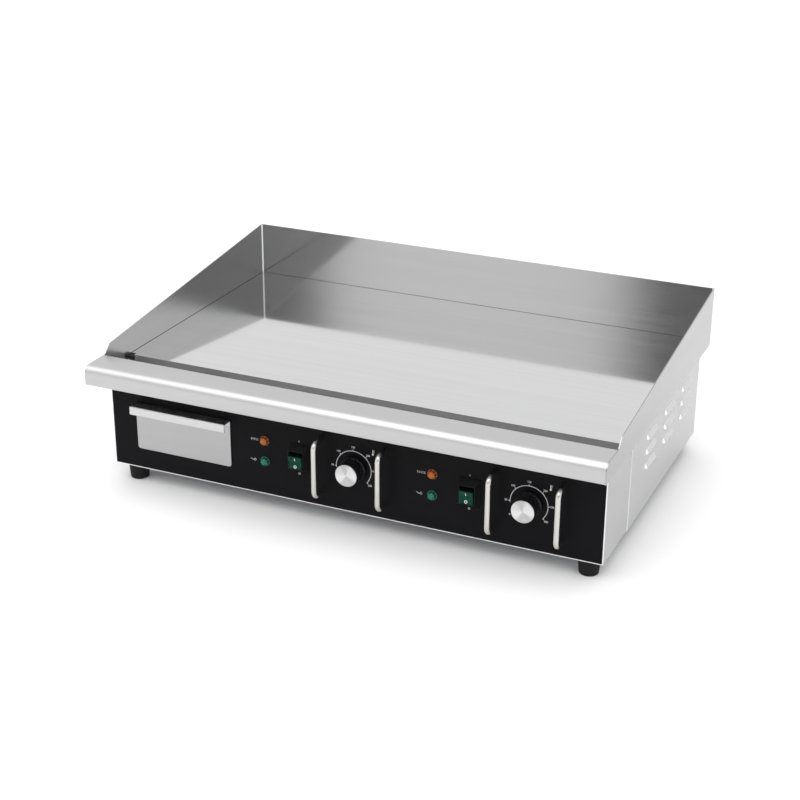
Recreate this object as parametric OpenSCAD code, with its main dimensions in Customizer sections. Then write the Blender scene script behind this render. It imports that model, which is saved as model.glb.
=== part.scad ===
// Countertop flat top griddle with two heating zones, a grease trough and a grease drawer.
// X runs to the right, Y to the back and Z up. The origin is the centre of the footprint,
// on the surface that the feet stand on. All sizes are in millimetres.

/* [Overall] */
// Width over the side walls of the cooking tray
overall_w = 730; // [700:10:760]
// Depth from the front nose to the rear wall
overall_d = 500; // [490:5:530]
// Height from the worktop to the top of the rear wall
overall_h = 245; // [235:5:265]

/* [Cooking tray] */
// Height of the cooking surface above the worktop
plate_top = 165; // [163:0.5:167]
// Thickness of the griddle plate
plate_t = 8; // [6:0.5:8]
// Distance from the nose to the plate's front edge, as wide as the nose and the trough
plate_setback = 106.5; // [104:0.5:112]
// Sheet thickness of the splash walls and nose
wall_t = 1.5; // [1.2:0.1:2]
// Depth of the front nose, front to back
nose_d = 47; // [44.5:0.5:50]
// Height of the nose's top above the worktop
nose_top = 185; // [181:1:187]
// Outer radius of the nose's front edge
nose_r = 11; // [6:1:14]
// Depth of the grease trough's floor below the cooking surface
trough_depth = 22; // [16:1:24]

/* [Case] */
// How far the cooking tray overhangs the case at each side
side_overhang = 10; // [8:0.5:12]
// How far the nose stands in front of the control panel
nose_overhang = 44; // [43:0.5:46]
// How far the cooking tray overhangs the case at the back
rear_overhang = 17; // [16:0.5:19]
// Sheet thickness of the case
case_t = 1.2; // [1:0.1:1.5]
// Distance from the control panel to the seam in the side of the case
seam_setback = 101; // [90:1:110]
// Length of one side louvre's straight part
louvre_l = 34; // [28:1:38]

/* [Drawer] */
// Width of the grease drawer's face
drawer_w = 147; // [140:1:150]
// Height of the grease drawer's face
drawer_h = 68.5; // [66:0.5:69]
// Centre of the drawer, measured from the middle of the griddle
drawer_x = -241.5; // [-245:0.5:-241]
// Depth of the drawer's tray behind its face
drawer_l = 226; // [180:2:228]

/* [Controls] */
// Centre height of the lamps, switches and knobs
control_z = 90; // [88:0.5:92]
// Distance between the two groups of controls
group_pitch = 241.5; // [238:0.5:242]
// Outer radius of the knob's aluminium cap
cap_r = 15.3; // [14:0.1:15.5]
// Distance from the panel to the knob's front
knob_h = 24; // [22:0.5:28]
// Stand-off of the knob guards from the panel
guard_reach = 25; // [22:1:30]
// Radius of the knob guards' rod
guard_r = 3.75; // [3:0.25:4]

/* [Feet] */
// Height of the feet
foot_h = 25.5; // [23:0.5:26]
// Radius of a foot where it meets the case
foot_r = 15; // [14:0.5:17]

/* [Hidden] */
$fn = 64;
eps = 0.01;

// Planes of the cooking tray
half_w = overall_w / 2;
front_y = -overall_d / 2;
rear_y = overall_d / 2;
plate_bottom = plate_top - plate_t;
skirt_z = plate_bottom + 1;
inner_half_w = half_w - wall_t;
plate_front_y = front_y + plate_setback;
plate_rear_y = rear_y - wall_t;
nose_rear_y = front_y + nose_d;
trough_floor = plate_top - trough_depth;
trough_t = 1.2;
// Side wall's rise behind the nose: foot of the 45 degree edge, and the rounded shoulder above it
rise_run = 11;
rise_r = 8;
shoulder_y = nose_rear_y + rise_run + rise_r * cos(45);
shoulder_z = nose_top + rise_run - 1 - rise_r * sin(45);
slope = atan((overall_h - shoulder_z - rise_r) / (rear_y - shoulder_y));

// Planes of the case
box_half = half_w - side_overhang;
panel_y = front_y + nose_overhang;
panel_t = 0.8;
frame_y = panel_y + panel_t;
frame_back_y = frame_y + case_t;
box_rear_y = rear_y - rear_overhang;
seam_y = panel_y + seam_setback;
base_top = foot_h + case_t;
flange = 15;
lap = 10;
panel_edge = 1.6;
louvre_y = [seam_y + 72, seam_y + 159, seam_y + 247];
louvre_z = [85.5, 106.5, 127.5];
louvre_r = 8;
louvre_rise = 4;
louvre_wall = 1.2;

// Places on the control panel, for the left group at index 0 and the right group at index 1
group = [0, group_pitch];
lamp_x = -116.5;
lamp_rise = 15;
switch_x = -65.5;
knob_x = 14;
guard_x = [-31.5, 59.5];
guard_z = [49.5, 127];
guard_bend = 10;
guard_stud_r = 2.5;
lamp_r = 5;
lamp_hole_r = lamp_r + 0.2;
shaft_hole_r = 5;
cutout = [24.4, 32.4];

// Knob, spindle and thermostat
skirt_r = 18.3;
body_r = 16.4;
spindle_r = 3;
running_gap = 0.05;
knob_gap = 1;
// Angle of the pointer at rest, from the right and anticlockwise as seen from the front
off_angle = 218;
thermostat_w = 44;
thermostat_d = 26;

// Rocker switch
pivot_d = 2;
rocker_w = 18.8;
rocker_half = 9.6;
rocker_face = 12.1;
rocker_valley = 10.8;
rocker_tilt = 8;
pin_r = 1.5;
bezel = [29, 38, 1.8];
shroud_front = [23, 26.4];
shroud_d = 11;
mouth = [19.8, 23.6];
housing_l = 24;

// Drawer
drawer_z = 56.5;
face_t = 1.5;
face_gap = 0.3;
slot_x = [drawer_x - drawer_w / 2 + 3, drawer_x + drawer_w / 2 - 3];
slot_z = [drawer_z + 1.5, drawer_z + drawer_h - 2.5];
drawer_side = 67.7;
tray_z = [60, 113];
tray_t = 1;
handle_reach = 16;
handle_lip = 12;
rail_gap = 0.3;
rail_t = 1.2;
drawer_back_y = panel_y - face_gap + drawer_l;
bracket_y = drawer_back_y + 5;

// Heating
element_r = 4;
leg_pitch = 55;
bend_r = leg_pitch / 2;
zone_x = [-180, 180];
leg_y = [-82, 182];
element_z = plate_bottom - element_r;
drop_y = -108;
drop_z = 107;
clamp_y = [-30, 130];
clamp_z = element_z - element_r - 3;
stud_x = [-110, 110];
bulb_y = [-10, 80];
tube_drop_y = -122;
shield_z = 121;
shield_half = 347;
shield_y = [-137, 228];

// Feet
foot_x = 331;
foot_y = [panel_y + 22, box_rear_y - 22];
foot_bottom_r = 13;
foot_edge = 2;
recess_r = 7;
recess_h = 14;

// Supply and rear fasteners
gland_x = 270;
gland_z = 65;
gland_r = 10;
gland_bore_r = 4.5;
stud_pos = [310, 55];
stud_r = 3;
stud_nut_r = 5.7;
block_y = 190;
block_pitch = 12;
wire_half = 3;
wire_z = base_top + 12;
rise_y = -147;
screw_r = 2;
screw_head_r = 3.8;
base_screw_x = [-200, 0, 200];
screw_spots = concat(
    [for (x = [-347, 347]) for (z = [50, 130]) [x, z]],
    [for (x = base_screw_x) [x, foot_h + 8]]
);

// Points along an arc in the plane of the profile
function arc(c, r, a0, a1, n = 8) =
    [for (i = [0:n]) let (a = a0 + (a1 - a0) * i / n) [c[0] + r * cos(a), c[1] + r * sin(a)]];

// A profile drawn in Y and Z, extruded along X
module along_x(x0, len) {
    translate([x0, 0, 0])
        rotate([90, 0, 90])
            linear_extrude(len)
                children();
}

// A profile drawn in X and Z, extruded backwards along Y
module along_y(y0, len) {
    translate([0, y0 + len, 0])
        rotate([90, 0, 0])
            linear_extrude(len)
                children();
}

// A box between two corners
module span(a, b) {
    translate(a)
        cube(b - a);
}

// A cylinder or cone whose axis runs backwards from a point on the panel
module bar_y(x, y0, y1, z, r, r2 = undef) {
    translate([x, y0, z])
        rotate([-90, 0, 0])
            cylinder(h = y1 - y0, r1 = r, r2 = r2 == undef ? r : r2);
}

// A profile of radius and distance from the panel, turned about a shaft
module turned(x, z, points) {
    translate([x, panel_y, z])
        rotate([90, 0, 0])
            rotate_extrude()
                polygon(points);
}

// A round bar through a list of points, with slightly larger ball corners
module tube_path(points, r) {
    for (i = [0:len(points) - 2]) {
        a = points[i];
        v = points[i + 1] - a;
        l = norm(v);
        translate(a)
            rotate([0, acos(v[2] / l), atan2(v[1], v[0])])
                cylinder(h = l, r = r, $fn = 24);
        if (i > 0)
            translate(a)
                sphere(r = 1.1 * r, $fn = 24);
    }
}

// A hexagon nut, its axis along Z
module nut(r, bore, h) {
    difference() {
        cylinder(h = h, r = r, $fn = 6);
        translate([0, 0, -1])
            cylinder(h = h + 2, r = bore);
    }
}

// ---- Cooking tray ----

module griddle_plate() {
    color("gainsboro")
        span([-inner_half_w, plate_front_y, plate_bottom], [inner_half_w, plate_rear_y, plate_top]);
}

// Outline of a side wall: nose end, rise behind the nose and long sloping top edge
module side_outline() {
    polygon(concat(
        [[front_y, skirt_z]],
        arc([front_y + nose_r, nose_top - nose_r], nose_r, 180, 90),
        [[nose_rear_y - 2, nose_top], [nose_rear_y + 1, nose_top + 0.6]],
        arc([shoulder_y, shoulder_z], rise_r, 135, 90 + slope, 6),
        [[rear_y, overall_h], [rear_y, skirt_z]]
    ));
}

module splash_left() {
    color("silver")
        along_x(-half_w, wall_t)
            side_outline();
}

module splash_right() {
    color("silver")
        along_x(inner_half_w, wall_t)
            side_outline();
}

module splash_back() {
    color("silver")
        span([-inner_half_w, plate_rear_y, skirt_z], [inner_half_w, rear_y, overall_h]);
}

// Bent nose: bottom return, front face, rounded edge, top and a short drop into the trough
module front_nose() {
    drop = 12;
    c = [front_y + nose_r, nose_top - nose_r];
    color("silver")
        along_x(-inner_half_w, 2 * inner_half_w)
            polygon(concat(
                [[frame_back_y, skirt_z], [front_y, skirt_z]],
                arc(c, nose_r, 180, 90),
                [[nose_rear_y, nose_top], [nose_rear_y, nose_top - drop]],
                [[nose_rear_y - wall_t, nose_top - drop], [nose_rear_y - wall_t, nose_top - wall_t]],
                arc(c, nose_r - wall_t, 90, 180),
                [[front_y + wall_t, skirt_z + wall_t], [frame_back_y, skirt_z + wall_t]]
            ));
}

// Grease trough between the nose and the plate, with its drain hole above the drawer
module oil_trough() {
    end_x = box_half - case_t - 0.3;
    rear = plate_front_y + trough_t;
    color("darkgray")
        difference() {
            union() {
                span([-end_x, nose_rear_y, trough_floor], [end_x, rear, trough_floor + trough_t]);
                span([-end_x, nose_rear_y, trough_floor], [end_x, nose_rear_y + trough_t, skirt_z]);
                span([-inner_half_w, nose_rear_y, skirt_z],
                     [inner_half_w, nose_rear_y + trough_t, nose_top - 2]);
                span([-end_x, plate_front_y, trough_floor], [end_x, rear, plate_bottom]);
                for (s = [-1, 1]) {
                    translate([s * (end_x - trough_t / 2), 0, 0])
                        span([-trough_t / 2, nose_rear_y, trough_floor],
                             [trough_t / 2, rear, plate_bottom]);
                    translate([s * (end_x + inner_half_w - trough_t) / 2, 0, 0])
                        span([-(inner_half_w - end_x + trough_t) / 2, nose_rear_y, plate_bottom],
                             [(inner_half_w - end_x + trough_t) / 2, plate_front_y, skirt_z]);
                }
            }
            translate([drawer_x, (nose_rear_y + plate_front_y) / 2, trough_floor - 1])
                cylinder(h = 4, r = 9.5);
        }
}

module drain_spout() {
    color("silver")
        translate([drawer_x, (nose_rear_y + plate_front_y) / 2, tray_z[1] + 5])
            difference() {
                cylinder(h = trough_floor - tray_z[1] - 5, r = 10.7);
                translate([0, 0, -1])
                    cylinder(h = trough_floor, r = 9.5);
            }
}

// ---- Case ----

// Every cut-out that the control panel and the frame behind it share
module panel_cutouts() {
    translate([slot_x[0], slot_z[0]])
        square([slot_x[1] - slot_x[0], slot_z[1] - slot_z[0]]);
    for (g = group) {
        for (s = [-1, 1])
            translate([lamp_x + g, control_z + s * lamp_rise])
                circle(r = lamp_hole_r);
        translate([switch_x + g, control_z])
            square(cutout, center = true);
        translate([knob_x + g, control_z])
            circle(r = shaft_hole_r);
        for (x = guard_x)
            for (z = guard_z)
                translate([x + g, z])
                    circle(r = guard_stud_r + 0.2);
    }
}

module front_frame() {
    color("silver") {
        along_y(frame_y, case_t)
            difference() {
                translate([-box_half, foot_h])
                    square([2 * box_half, skirt_z - foot_h]);
                panel_cutouts();
            }
        for (s = [0, 1])
            mirror([s, 0, 0])
                span([box_half - case_t, frame_back_y - eps, foot_h],
                     [box_half, seam_y + lap, plate_bottom]);
    }
}

module control_panel() {
    color([0.11, 0.11, 0.12])
        along_y(panel_y, panel_t)
            difference() {
                translate([-box_half + panel_edge, foot_h + panel_edge])
                    square([2 * (box_half - panel_edge), skirt_z - foot_h - panel_edge]);
                panel_cutouts();
            }
}

// One pressed louvre: a rounded hood above a slit
module louvre_hood(r, grow) {
    c = box_half + case_t + louvre_rise - louvre_r;
    for (y = [0, louvre_l])
        translate([c, y, 0])
            sphere(r = r, $fn = 32);
    translate([c, 0, 0])
        rotate([-90, 0, 0])
            cylinder(h = louvre_l, r = r, $fn = 32);
}

module side_panel_right() {
    outer = box_half + case_t;
    color("silver")
        difference() {
            union() {
                span([box_half, seam_y, foot_h], [outer, box_rear_y, plate_bottom]);
                span([box_half - flange, box_rear_y - 2 * case_t, base_top],
                     [box_half + eps, box_rear_y - case_t, plate_bottom]);
                for (y = louvre_y)
                    for (z = louvre_z)
                        intersection() {
                            translate([0, y, z])
                                louvre_hood(louvre_r);
                            span([box_half, y - louvre_r, z],
                                 [outer + louvre_r, y + louvre_l + louvre_r, z + louvre_r]);
                        }
            }
            for (y = louvre_y)
                for (z = louvre_z)
                    intersection() {
                        translate([0, y, z])
                            louvre_hood(louvre_r - louvre_wall);
                        span([box_half - 5, y - louvre_r, z - 0.5],
                             [outer + louvre_r, y + louvre_l + louvre_r, z + louvre_r]);
                    }
        }
}

module side_panel_left() {
    mirror([1, 0, 0])
        side_panel_right();
}

module back_panel() {
    color("silver")
        along_y(box_rear_y - case_t, case_t)
            difference() {
                translate([-box_half, foot_h])
                    square([2 * box_half, plate_bottom - foot_h]);
                translate([gland_x, gland_z])
                    circle(r = gland_r + 0.2);
                translate(stud_pos)
                    circle(r = stud_r + 0.2);
                for (p = screw_spots)
                    translate(p)
                        circle(r = screw_r);
            }
}

module base_pan() {
    inner = box_half - case_t;
    rear = box_rear_y - 2 * case_t;
    color("silver")
        difference() {
            union() {
                span([-inner, frame_back_y, foot_h], [inner, rear + case_t, base_top]);
                span([-inner, frame_back_y, foot_h], [inner, frame_back_y + case_t, foot_h + flange]);
                span([-(box_half - flange - 1), rear, foot_h],
                     [box_half - flange - 1, rear + case_t, foot_h + flange]);
                for (s = [0, 1])
                    mirror([s, 0, 0])
                        span([inner - case_t, frame_back_y, foot_h],
                             [inner, rear - 1, foot_h + flange]);
            }
            for (x = [-foot_x, foot_x])
                for (y = foot_y)
                    translate([x, y, foot_h - 1])
                        cylinder(h = 4, r = 3.2);
        }
}

// ---- Drawer and its runners ----

module drawer_rail(x_web, side) {
    x_ledge = x_web - side * 10;
    lo = tray_z[0] - 0.2 - rail_t;
    span([min(x_web, x_web + side * rail_t), frame_back_y, lo],
         [max(x_web, x_web + side * rail_t), bracket_y, lo + 26]);
    span([min(x_ledge, x_web), frame_back_y, lo], [max(x_ledge, x_web), bracket_y, lo + rail_t]);
}

module drawer_rail_left() {
    color("gray")
        drawer_rail(drawer_x - drawer_side - rail_gap, -1);
}

module drawer_rail_right() {
    color("gray")
        drawer_rail(drawer_x + drawer_side + rail_gap, 1);
}

// Standing bracket that carries the runners' rear ends and stops the drawer
module drawer_stop_bracket() {
    x0 = drawer_x - drawer_side - 14;
    x1 = drawer_x + drawer_side + 14;
    color("gray") {
        span([x0, bracket_y, base_top], [x1, bracket_y + rail_t, tray_z[0] + 26]);
        span([x0, bracket_y, base_top], [x1, bracket_y + 14, base_top + rail_t]);
    }
}

// Face, handle flange and lip bent from one sheet
module drawer_front() {
    x0 = drawer_x - drawer_w / 2;
    back = panel_y - face_gap;
    top = drawer_z + drawer_h;
    corner = 4;
    color("lightgray") {
        along_y(back - face_t, face_t)
            union() {
                translate([x0, drawer_z + corner])
                    square([drawer_w, drawer_h - corner]);
                translate([x0 + corner, drawer_z])
                    square([drawer_w - 2 * corner, corner + 1]);
                for (x = [x0 + corner, x0 + drawer_w - corner])
                    translate([x, drawer_z + corner])
                        circle(r = corner);
            }
        along_x(x0, drawer_w)
            polygon([
                [back, top], [back - handle_reach - face_t, top],
                [back - handle_reach - face_t, top - handle_lip],
                [back - handle_reach, top - handle_lip],
                [back - handle_reach, top - face_t], [back, top - face_t]
            ]);
    }
}

module drawer_box() {
    y0 = panel_y - face_gap;
    x0 = drawer_x - drawer_side;
    x1 = drawer_x + drawer_side;
    color("silver")
        difference() {
            span([x0, y0, tray_z[0]], [x1, drawer_back_y, tray_z[1]]);
            span([x0 + tray_t, y0 + tray_t, tray_z[0] + tray_t],
                 [x1 - tray_t, drawer_back_y - tray_t, tray_z[1] + 1]);
        }
}

// ---- Knob guards ----

module guard_bar(x) {
    y_rod = panel_y - guard_reach;
    color("lightgray") {
        translate([x, y_rod, guard_z[0] + guard_bend])
            cylinder(h = guard_z[1] - guard_z[0] - 2 * guard_bend, r = guard_r);
        for (s = [-1, 1]) {
            z = s < 0 ? guard_z[0] : guard_z[1];
            translate([x, y_rod + guard_bend, z - s * guard_bend])
                rotate([s * 90, 0, -90])
                    rotate_extrude(angle = 90)
                        translate([guard_bend, 0])
                            circle(r = guard_r, $fn = 32);
            bar_y(x, y_rod + guard_bend, panel_y, z, guard_r);
            bar_y(x, panel_y - eps, frame_back_y + 8, z, guard_stud_r);
        }
    }
}

module guard_bar_1() {
    guard_bar(guard_x[0]);
}

module guard_bar_2() {
    guard_bar(guard_x[1]);
}

module guard_bar_3() {
    guard_bar(guard_x[0] + group_pitch);
}

module guard_bar_4() {
    guard_bar(guard_x[1] + group_pitch);
}

module guard_bar_nuts() {
    color("silver")
        for (g = group)
            for (x = guard_x)
                for (z = guard_z)
                    translate([x + g, frame_back_y + 4, z])
                        rotate([90, 0, 0])
                            nut(4.6, guard_stud_r + running_gap, 4);
}

// ---- Lamps, switches and thermostats ----

// Domed lens with a flange, snapped into its body from the front
module lamp_lens(x, z) {
    shank = frame_back_y - panel_y;
    turned(x, z, concat([[0, -shank], [lamp_r, -shank], [lamp_r, 0], [7, 0], [7, 1.2], [6.2, 1.6]],
                        arc([0, 1.6], 6, 0, 90, 10)));
}

module lamp_heat_left() {
    color("orange")
        lamp_lens(lamp_x, control_z + lamp_rise);
}

module lamp_power_left() {
    color("green")
        lamp_lens(lamp_x, control_z - lamp_rise);
}

module lamp_heat_right() {
    color("orange")
        lamp_lens(lamp_x + group_pitch, control_z + lamp_rise);
}

module lamp_power_right() {
    color("green")
        lamp_lens(lamp_x + group_pitch, control_z - lamp_rise);
}

module lamp_bodies() {
    color("dimgray")
        for (g = group)
            for (s = [-1, 1]) {
                z = control_z + s * lamp_rise;
                bar_y(lamp_x + g, frame_back_y, panel_y + 26, z, lamp_r);
                bar_y(lamp_x + g, frame_back_y, frame_back_y + 3, z, 7.5);
                for (t = [-2.5, 2.5])
                    span([lamp_x + g + t - 0.4, panel_y + 26 - eps, z - 2],
                         [lamp_x + g + t + 0.4, panel_y + 33, z + 2]);
            }
}

// Tapered shroud with the rocker's mouth, on a body that passes through the panel
module switch_housing(x) {
    pivot_y = panel_y - pivot_d;
    front = panel_y - shroud_d;
    plate = panel_y - bezel[2];
    difference() {
        union() {
            along_y(plate, bezel[2])
                translate([x, control_z])
                    square([bezel[0], bezel[1]], center = true);
            intersection() {
                along_x(x - bezel[0] / 2, bezel[0])
                    polygon([
                        [plate + eps, control_z - bezel[1] / 2 + 1.5],
                        [plate + eps, control_z + bezel[1] / 2 - 1.5],
                        [front, control_z + shroud_front[1] / 2],
                        [front, control_z - shroud_front[1] / 2]
                    ]);
                translate([0, 0, control_z - bezel[1] / 2])
                    linear_extrude(bezel[1])
                        polygon([
                            [x - bezel[0] / 2 + 1, plate + eps],
                            [x + bezel[0] / 2 - 1, plate + eps],
                            [x + shroud_front[0] / 2, front],
                            [x - shroud_front[0] / 2, front]
                        ]);
            }
            along_y(panel_y - eps, housing_l)
                translate([x, control_z])
                    square([cutout[0] - 0.4, cutout[1] - 0.4], center = true);
            for (z = [-9, 0, 9])
                span([x - 3.2, panel_y + housing_l - 1, control_z + z - 0.4],
                     [x + 3.2, panel_y + housing_l + 9, control_z + z + 0.4]);
        }
        along_y(front - 1, shroud_d + 17)
            translate([x, control_z])
                square(mouth, center = true);
        translate([x - 11, pivot_y, control_z])
            rotate([0, 90, 0])
                cylinder(h = 22, r = pin_r + running_gap);
    }
}

module switch_housing_left() {
    color([0.04, 0.04, 0.045])
        switch_housing(switch_x);
}

module switch_housing_right() {
    color([0.04, 0.04, 0.045])
        switch_housing(switch_x + group_pitch);
}

// Rocker with a shallow valley across its face and two pivot pins, lower half pressed in
module rocker(x) {
    translate([x, panel_y - pivot_d, control_z])
        rotate([rocker_tilt, 0, 0]) {
            along_x(-rocker_w / 2, rocker_w)
                polygon([
                    [-rocker_face, rocker_half], [-rocker_valley, 0], [-rocker_face, -rocker_half],
                    [-6, -rocker_half], [6, -5], [6, 5], [-6, rocker_half]
                ]);
            translate([-10.7, 0, 0])
                rotate([0, 90, 0])
                    cylinder(h = 21.4, r = pin_r);
        }
}

module rocker_left() {
    color([0.03, 0.3, 0.18])
        rocker(switch_x);
}

module rocker_right() {
    color([0.03, 0.3, 0.18])
        rocker(switch_x + group_pitch);
}

// Capillary thermostat behind the panel, with the bore that its spindle turns in
module thermostat(x) {
    half = thermostat_w / 2;
    difference() {
        union() {
            span([x - half, frame_back_y, control_z - half],
                 [x + half, frame_back_y + thermostat_d, control_z + half]);
            bar_y(x, frame_back_y + thermostat_d - eps, frame_back_y + thermostat_d + 10, control_z, 16);
        }
        bar_y(x, frame_back_y - 1, frame_back_y + 20, control_z, spindle_r + running_gap);
    }
}

module thermostat_left() {
    color("gray")
        thermostat(knob_x);
}

module thermostat_right() {
    color("gray")
        thermostat(knob_x + group_pitch);
}

// Sensing bulb under the plate and the fine tube from it to the thermostat
module capillary(zone, x) {
    turn = zone + (x > zone ? 30 : -30);
    translate([zone, bulb_y[0], element_z])
        rotate([-90, 0, 0])
            cylinder(h = bulb_y[1] - bulb_y[0], r = element_r);
    tube_path([
        [zone, bulb_y[0] + 2, element_z], [zone, bulb_y[0] - 36, element_z],
        [zone, bulb_y[0] - 50, 143], [turn, -120, 141], [x, tube_drop_y, 139],
        [x, tube_drop_y, 117], [x, -150, 99], [x, frame_back_y + thermostat_d + 10, 95]
    ], 0.9);
}

module capillary_left() {
    color("peru")
        capillary(zone_x[0], knob_x);
}

module capillary_right() {
    color("peru")
        capillary(zone_x[1], knob_x + group_pitch);
}

// Fluted phenolic knob with a pointer rib, hollow behind, with a hub bored for the spindle
module knob(x) {
    front = knob_h - 1.5;
    flutes = 24;
    pitch = 360 / flutes;
    difference() {
        turned(x, control_z, [
            [0, knob_gap + 1], [6, knob_gap + 1], [6, 8], [15, 8], [15, knob_gap], [skirt_r, knob_gap],
            [skirt_r, 4], [body_r + 0.8, 5.5], [body_r, 7], [body_r - 0.6, front - 0.6],
            [body_r - 1, front], [0, front]
        ]);
        for (i = [0:flutes - 1])
            translate([x, panel_y - 7, control_z])
                rotate([0, -off_angle - pitch * (i + 0.5), 0])
                    translate([body_r + 0.9, 0, 0])
                        rotate([90, 0, 0])
                            cylinder(h = knob_h, r = 1.4, $fn = 16);
        bar_y(x, panel_y - 18, panel_y, control_z, spindle_r + running_gap);
    }
    translate([x, panel_y, control_z])
        rotate([0, -off_angle, 0])
            span([body_r - 2, -front + 1, -0.7], [body_r + 0.5, -7, 0.7]);
}

module knob_left() {
    color([0.06, 0.06, 0.065])
        knob(knob_x);
}

module knob_right() {
    color([0.06, 0.06, 0.065])
        knob(knob_x + group_pitch);
}

// Spun aluminium cap glued to the knob's front
module knob_cap(x) {
    front = knob_h - 1.5;
    turned(x, control_z, [[0, front], [cap_r, front], [cap_r, knob_h - 0.4], [cap_r - 0.5, knob_h],
                          [0, knob_h]]);
}

module knob_cap_left() {
    color("gainsboro")
        knob_cap(knob_x);
}

module knob_cap_right() {
    color("gainsboro")
        knob_cap(knob_x + group_pitch);
}

module knob_spindle_left() {
    color("silver")
        bar_y(knob_x, panel_y - 16, frame_back_y + 18, control_z, spindle_r);
}

module knob_spindle_right() {
    color("silver")
        bar_y(knob_x + group_pitch, panel_y - 16, frame_back_y + 18, control_z, spindle_r);
}

// ---- Heating ----

// Serpentine tubular element pressed against the underside of the plate
module element(zone) {
    color("dimgray") {
        for (i = [-2.5:2.5]) {
            first = i == -2.5 || i == 2.5;
            y0 = first ? drop_y + 12 : leg_y[0];
            translate([zone + i * leg_pitch, y0, element_z])
                rotate([-90, 0, 0])
                    cylinder(h = leg_y[1] - y0, r = element_r, $fn = 32);
        }
        for (i = [-2:2]) {
            rear = i % 2 == 0;
            translate([zone + i * leg_pitch, rear ? leg_y[1] : leg_y[0], element_z])
                rotate([0, 0, rear ? 0 : 180])
                    rotate_extrude(angle = 180)
                        translate([bend_r, 0])
                            circle(r = element_r, $fn = 32);
        }
        for (i = [-2.5, 2.5])
            translate([zone + i * leg_pitch, drop_y + 12, element_z - 12]) {
                rotate([0, -90, 0])
                    rotate_extrude(angle = -90)
                        translate([12, 0])
                            circle(r = element_r, $fn = 32);
                translate([0, -12, drop_z - element_z + 12])
                    cylinder(h = element_z - 12 - drop_z, r = element_r, $fn = 32);
                translate([0, -12, drop_z - element_z + 2])
                    cylinder(h = 10 + eps, r = 1.6, $fn = 24);
            }
    }
}

module element_left() {
    element(zone_x[0]);
}

module element_right() {
    element(zone_x[1]);
}

module plate_studs() {
    color("silver")
        for (zone = zone_x)
            for (x = stud_x)
                for (y = clamp_y)
                    translate([zone + x, y, clamp_z - 9])
                        cylinder(h = plate_bottom - clamp_z + 9, r = 3);
}

module clamp_bars() {
    color("gray")
        for (zone = zone_x)
            for (y = clamp_y)
                difference() {
                    span([zone - 150, y - 10, clamp_z], [zone + 150, y + 10, clamp_z + 3]);
                    for (x = stud_x)
                        translate([zone + x, y, clamp_z - 1])
                            cylinder(h = 5, r = 3.3);
                }
}

module clamp_nuts() {
    color("silver")
        for (zone = zone_x)
            for (x = stud_x)
                for (y = clamp_y)
                    translate([zone + x, y, clamp_z - 5])
                        nut(5.7, 3, 5);
}

// Openings for the element ends and the capillary tubes in the layers under the plate
module under_plate_holes() {
    for (zone = zone_x)
        for (i = [-2.5, 2.5])
            translate([zone + i * leg_pitch, drop_y, shield_z - 1])
                cylinder(h = 20, r = 6);
    for (g = group)
        translate([knob_x + g, tube_drop_y, shield_z - 1])
            cylinder(h = 20, r = 3);
}

module insulation_pad() {
    color("wheat")
        difference() {
            span([-shield_half + 2, shield_y[0] + 2, shield_z + 1],
                 [shield_half - 2, shield_y[1] - 2, shield_z + 13]);
            under_plate_holes();
        }
}

module heat_shield() {
    color("lightgray")
        difference() {
            span([-shield_half, shield_y[0], shield_z], [shield_half, shield_y[1], plate_bottom]);
            span([-shield_half + 1, shield_y[0] + 1, shield_z + 1],
                 [shield_half - 1, shield_y[1] - 1, plate_bottom + 1]);
            under_plate_holes();
        }
}

// ---- Supply ----

module terminal_block() {
    color("ivory")
        difference() {
            span([gland_x - 5 * block_pitch, block_y, base_top],
                 [gland_x, block_y + 22, base_top + 20]);
            for (i = [0:4])
                translate([gland_x - (i + 0.5) * block_pitch, block_y + 11, base_top + 8])
                    cylinder(h = 14, r = 3);
        }
}

// One sleeved bundle: back to front under the drawer's level, then up to its switch
module wire_run(x0, y_run, x1) {
    h = wire_half;
    z = wire_z;
    span([x0 - h, y_run - h, z - h], [x0 + h, block_y, z + h]);
    span([min(x0, x1) - h, y_run - h, z - h], [max(x0, x1) + h, y_run + h, z + h]);
    span([x1 - h, rise_y - h, z - h], [x1 + h, y_run + h, z + h]);
    span([x1 - h, rise_y - h, z - h], [x1 + h, rise_y + h, control_z + h]);
    span([x1 - h, panel_y + housing_l + 12, control_z - h], [x1 + h, rise_y + h, control_z + h]);
}

module wiring_loom() {
    color([0.15, 0.15, 0.16]) {
        wire_run(gland_x - 50, 160, switch_x);
        wire_run(gland_x - 20, 130, switch_x + group_pitch);
    }
}

// Gland in the rear panel for the supply lead
module cable_gland() {
    color("dimgray")
        translate([gland_x, box_rear_y, gland_z])
            rotate([-90, 0, 0])
                difference() {
                    union() {
                        translate([0, 0, -14])
                            cylinder(h = 14 + eps, r = gland_r);
                        cylinder(h = 4, r = 13.5, $fn = 6);
                        translate([0, 0, 4 - eps])
                            cylinder(h = 4, r = 11.5);
                        translate([0, 0, 8 - 2 * eps])
                            cylinder(h = 4, r1 = 11.5, r2 = 8.5);
                    }
                    translate([0, 0, -15])
                        cylinder(h = 30, r = gland_bore_r);
                }
}

module gland_nut() {
    color("dimgray")
        translate([gland_x, box_rear_y - case_t - 5, gland_z])
            rotate([-90, 0, 0])
                nut(14, gland_r, 5);
}

// Earth bonding stud with the nuts that hold it to the rear panel
module equipotential_stud() {
    color("goldenrod")
        translate([stud_pos[0], box_rear_y, stud_pos[1]])
            rotate([-90, 0, 0]) {
                translate([0, 0, -12])
                    cylinder(h = 24, r = stud_r);
                cylinder(h = 3, r = stud_nut_r, $fn = 6);
                translate([0, 0, -case_t - 4])
                    cylinder(h = 4, r = stud_nut_r, $fn = 6);
            }
}

// ---- Feet and fasteners ----

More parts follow.
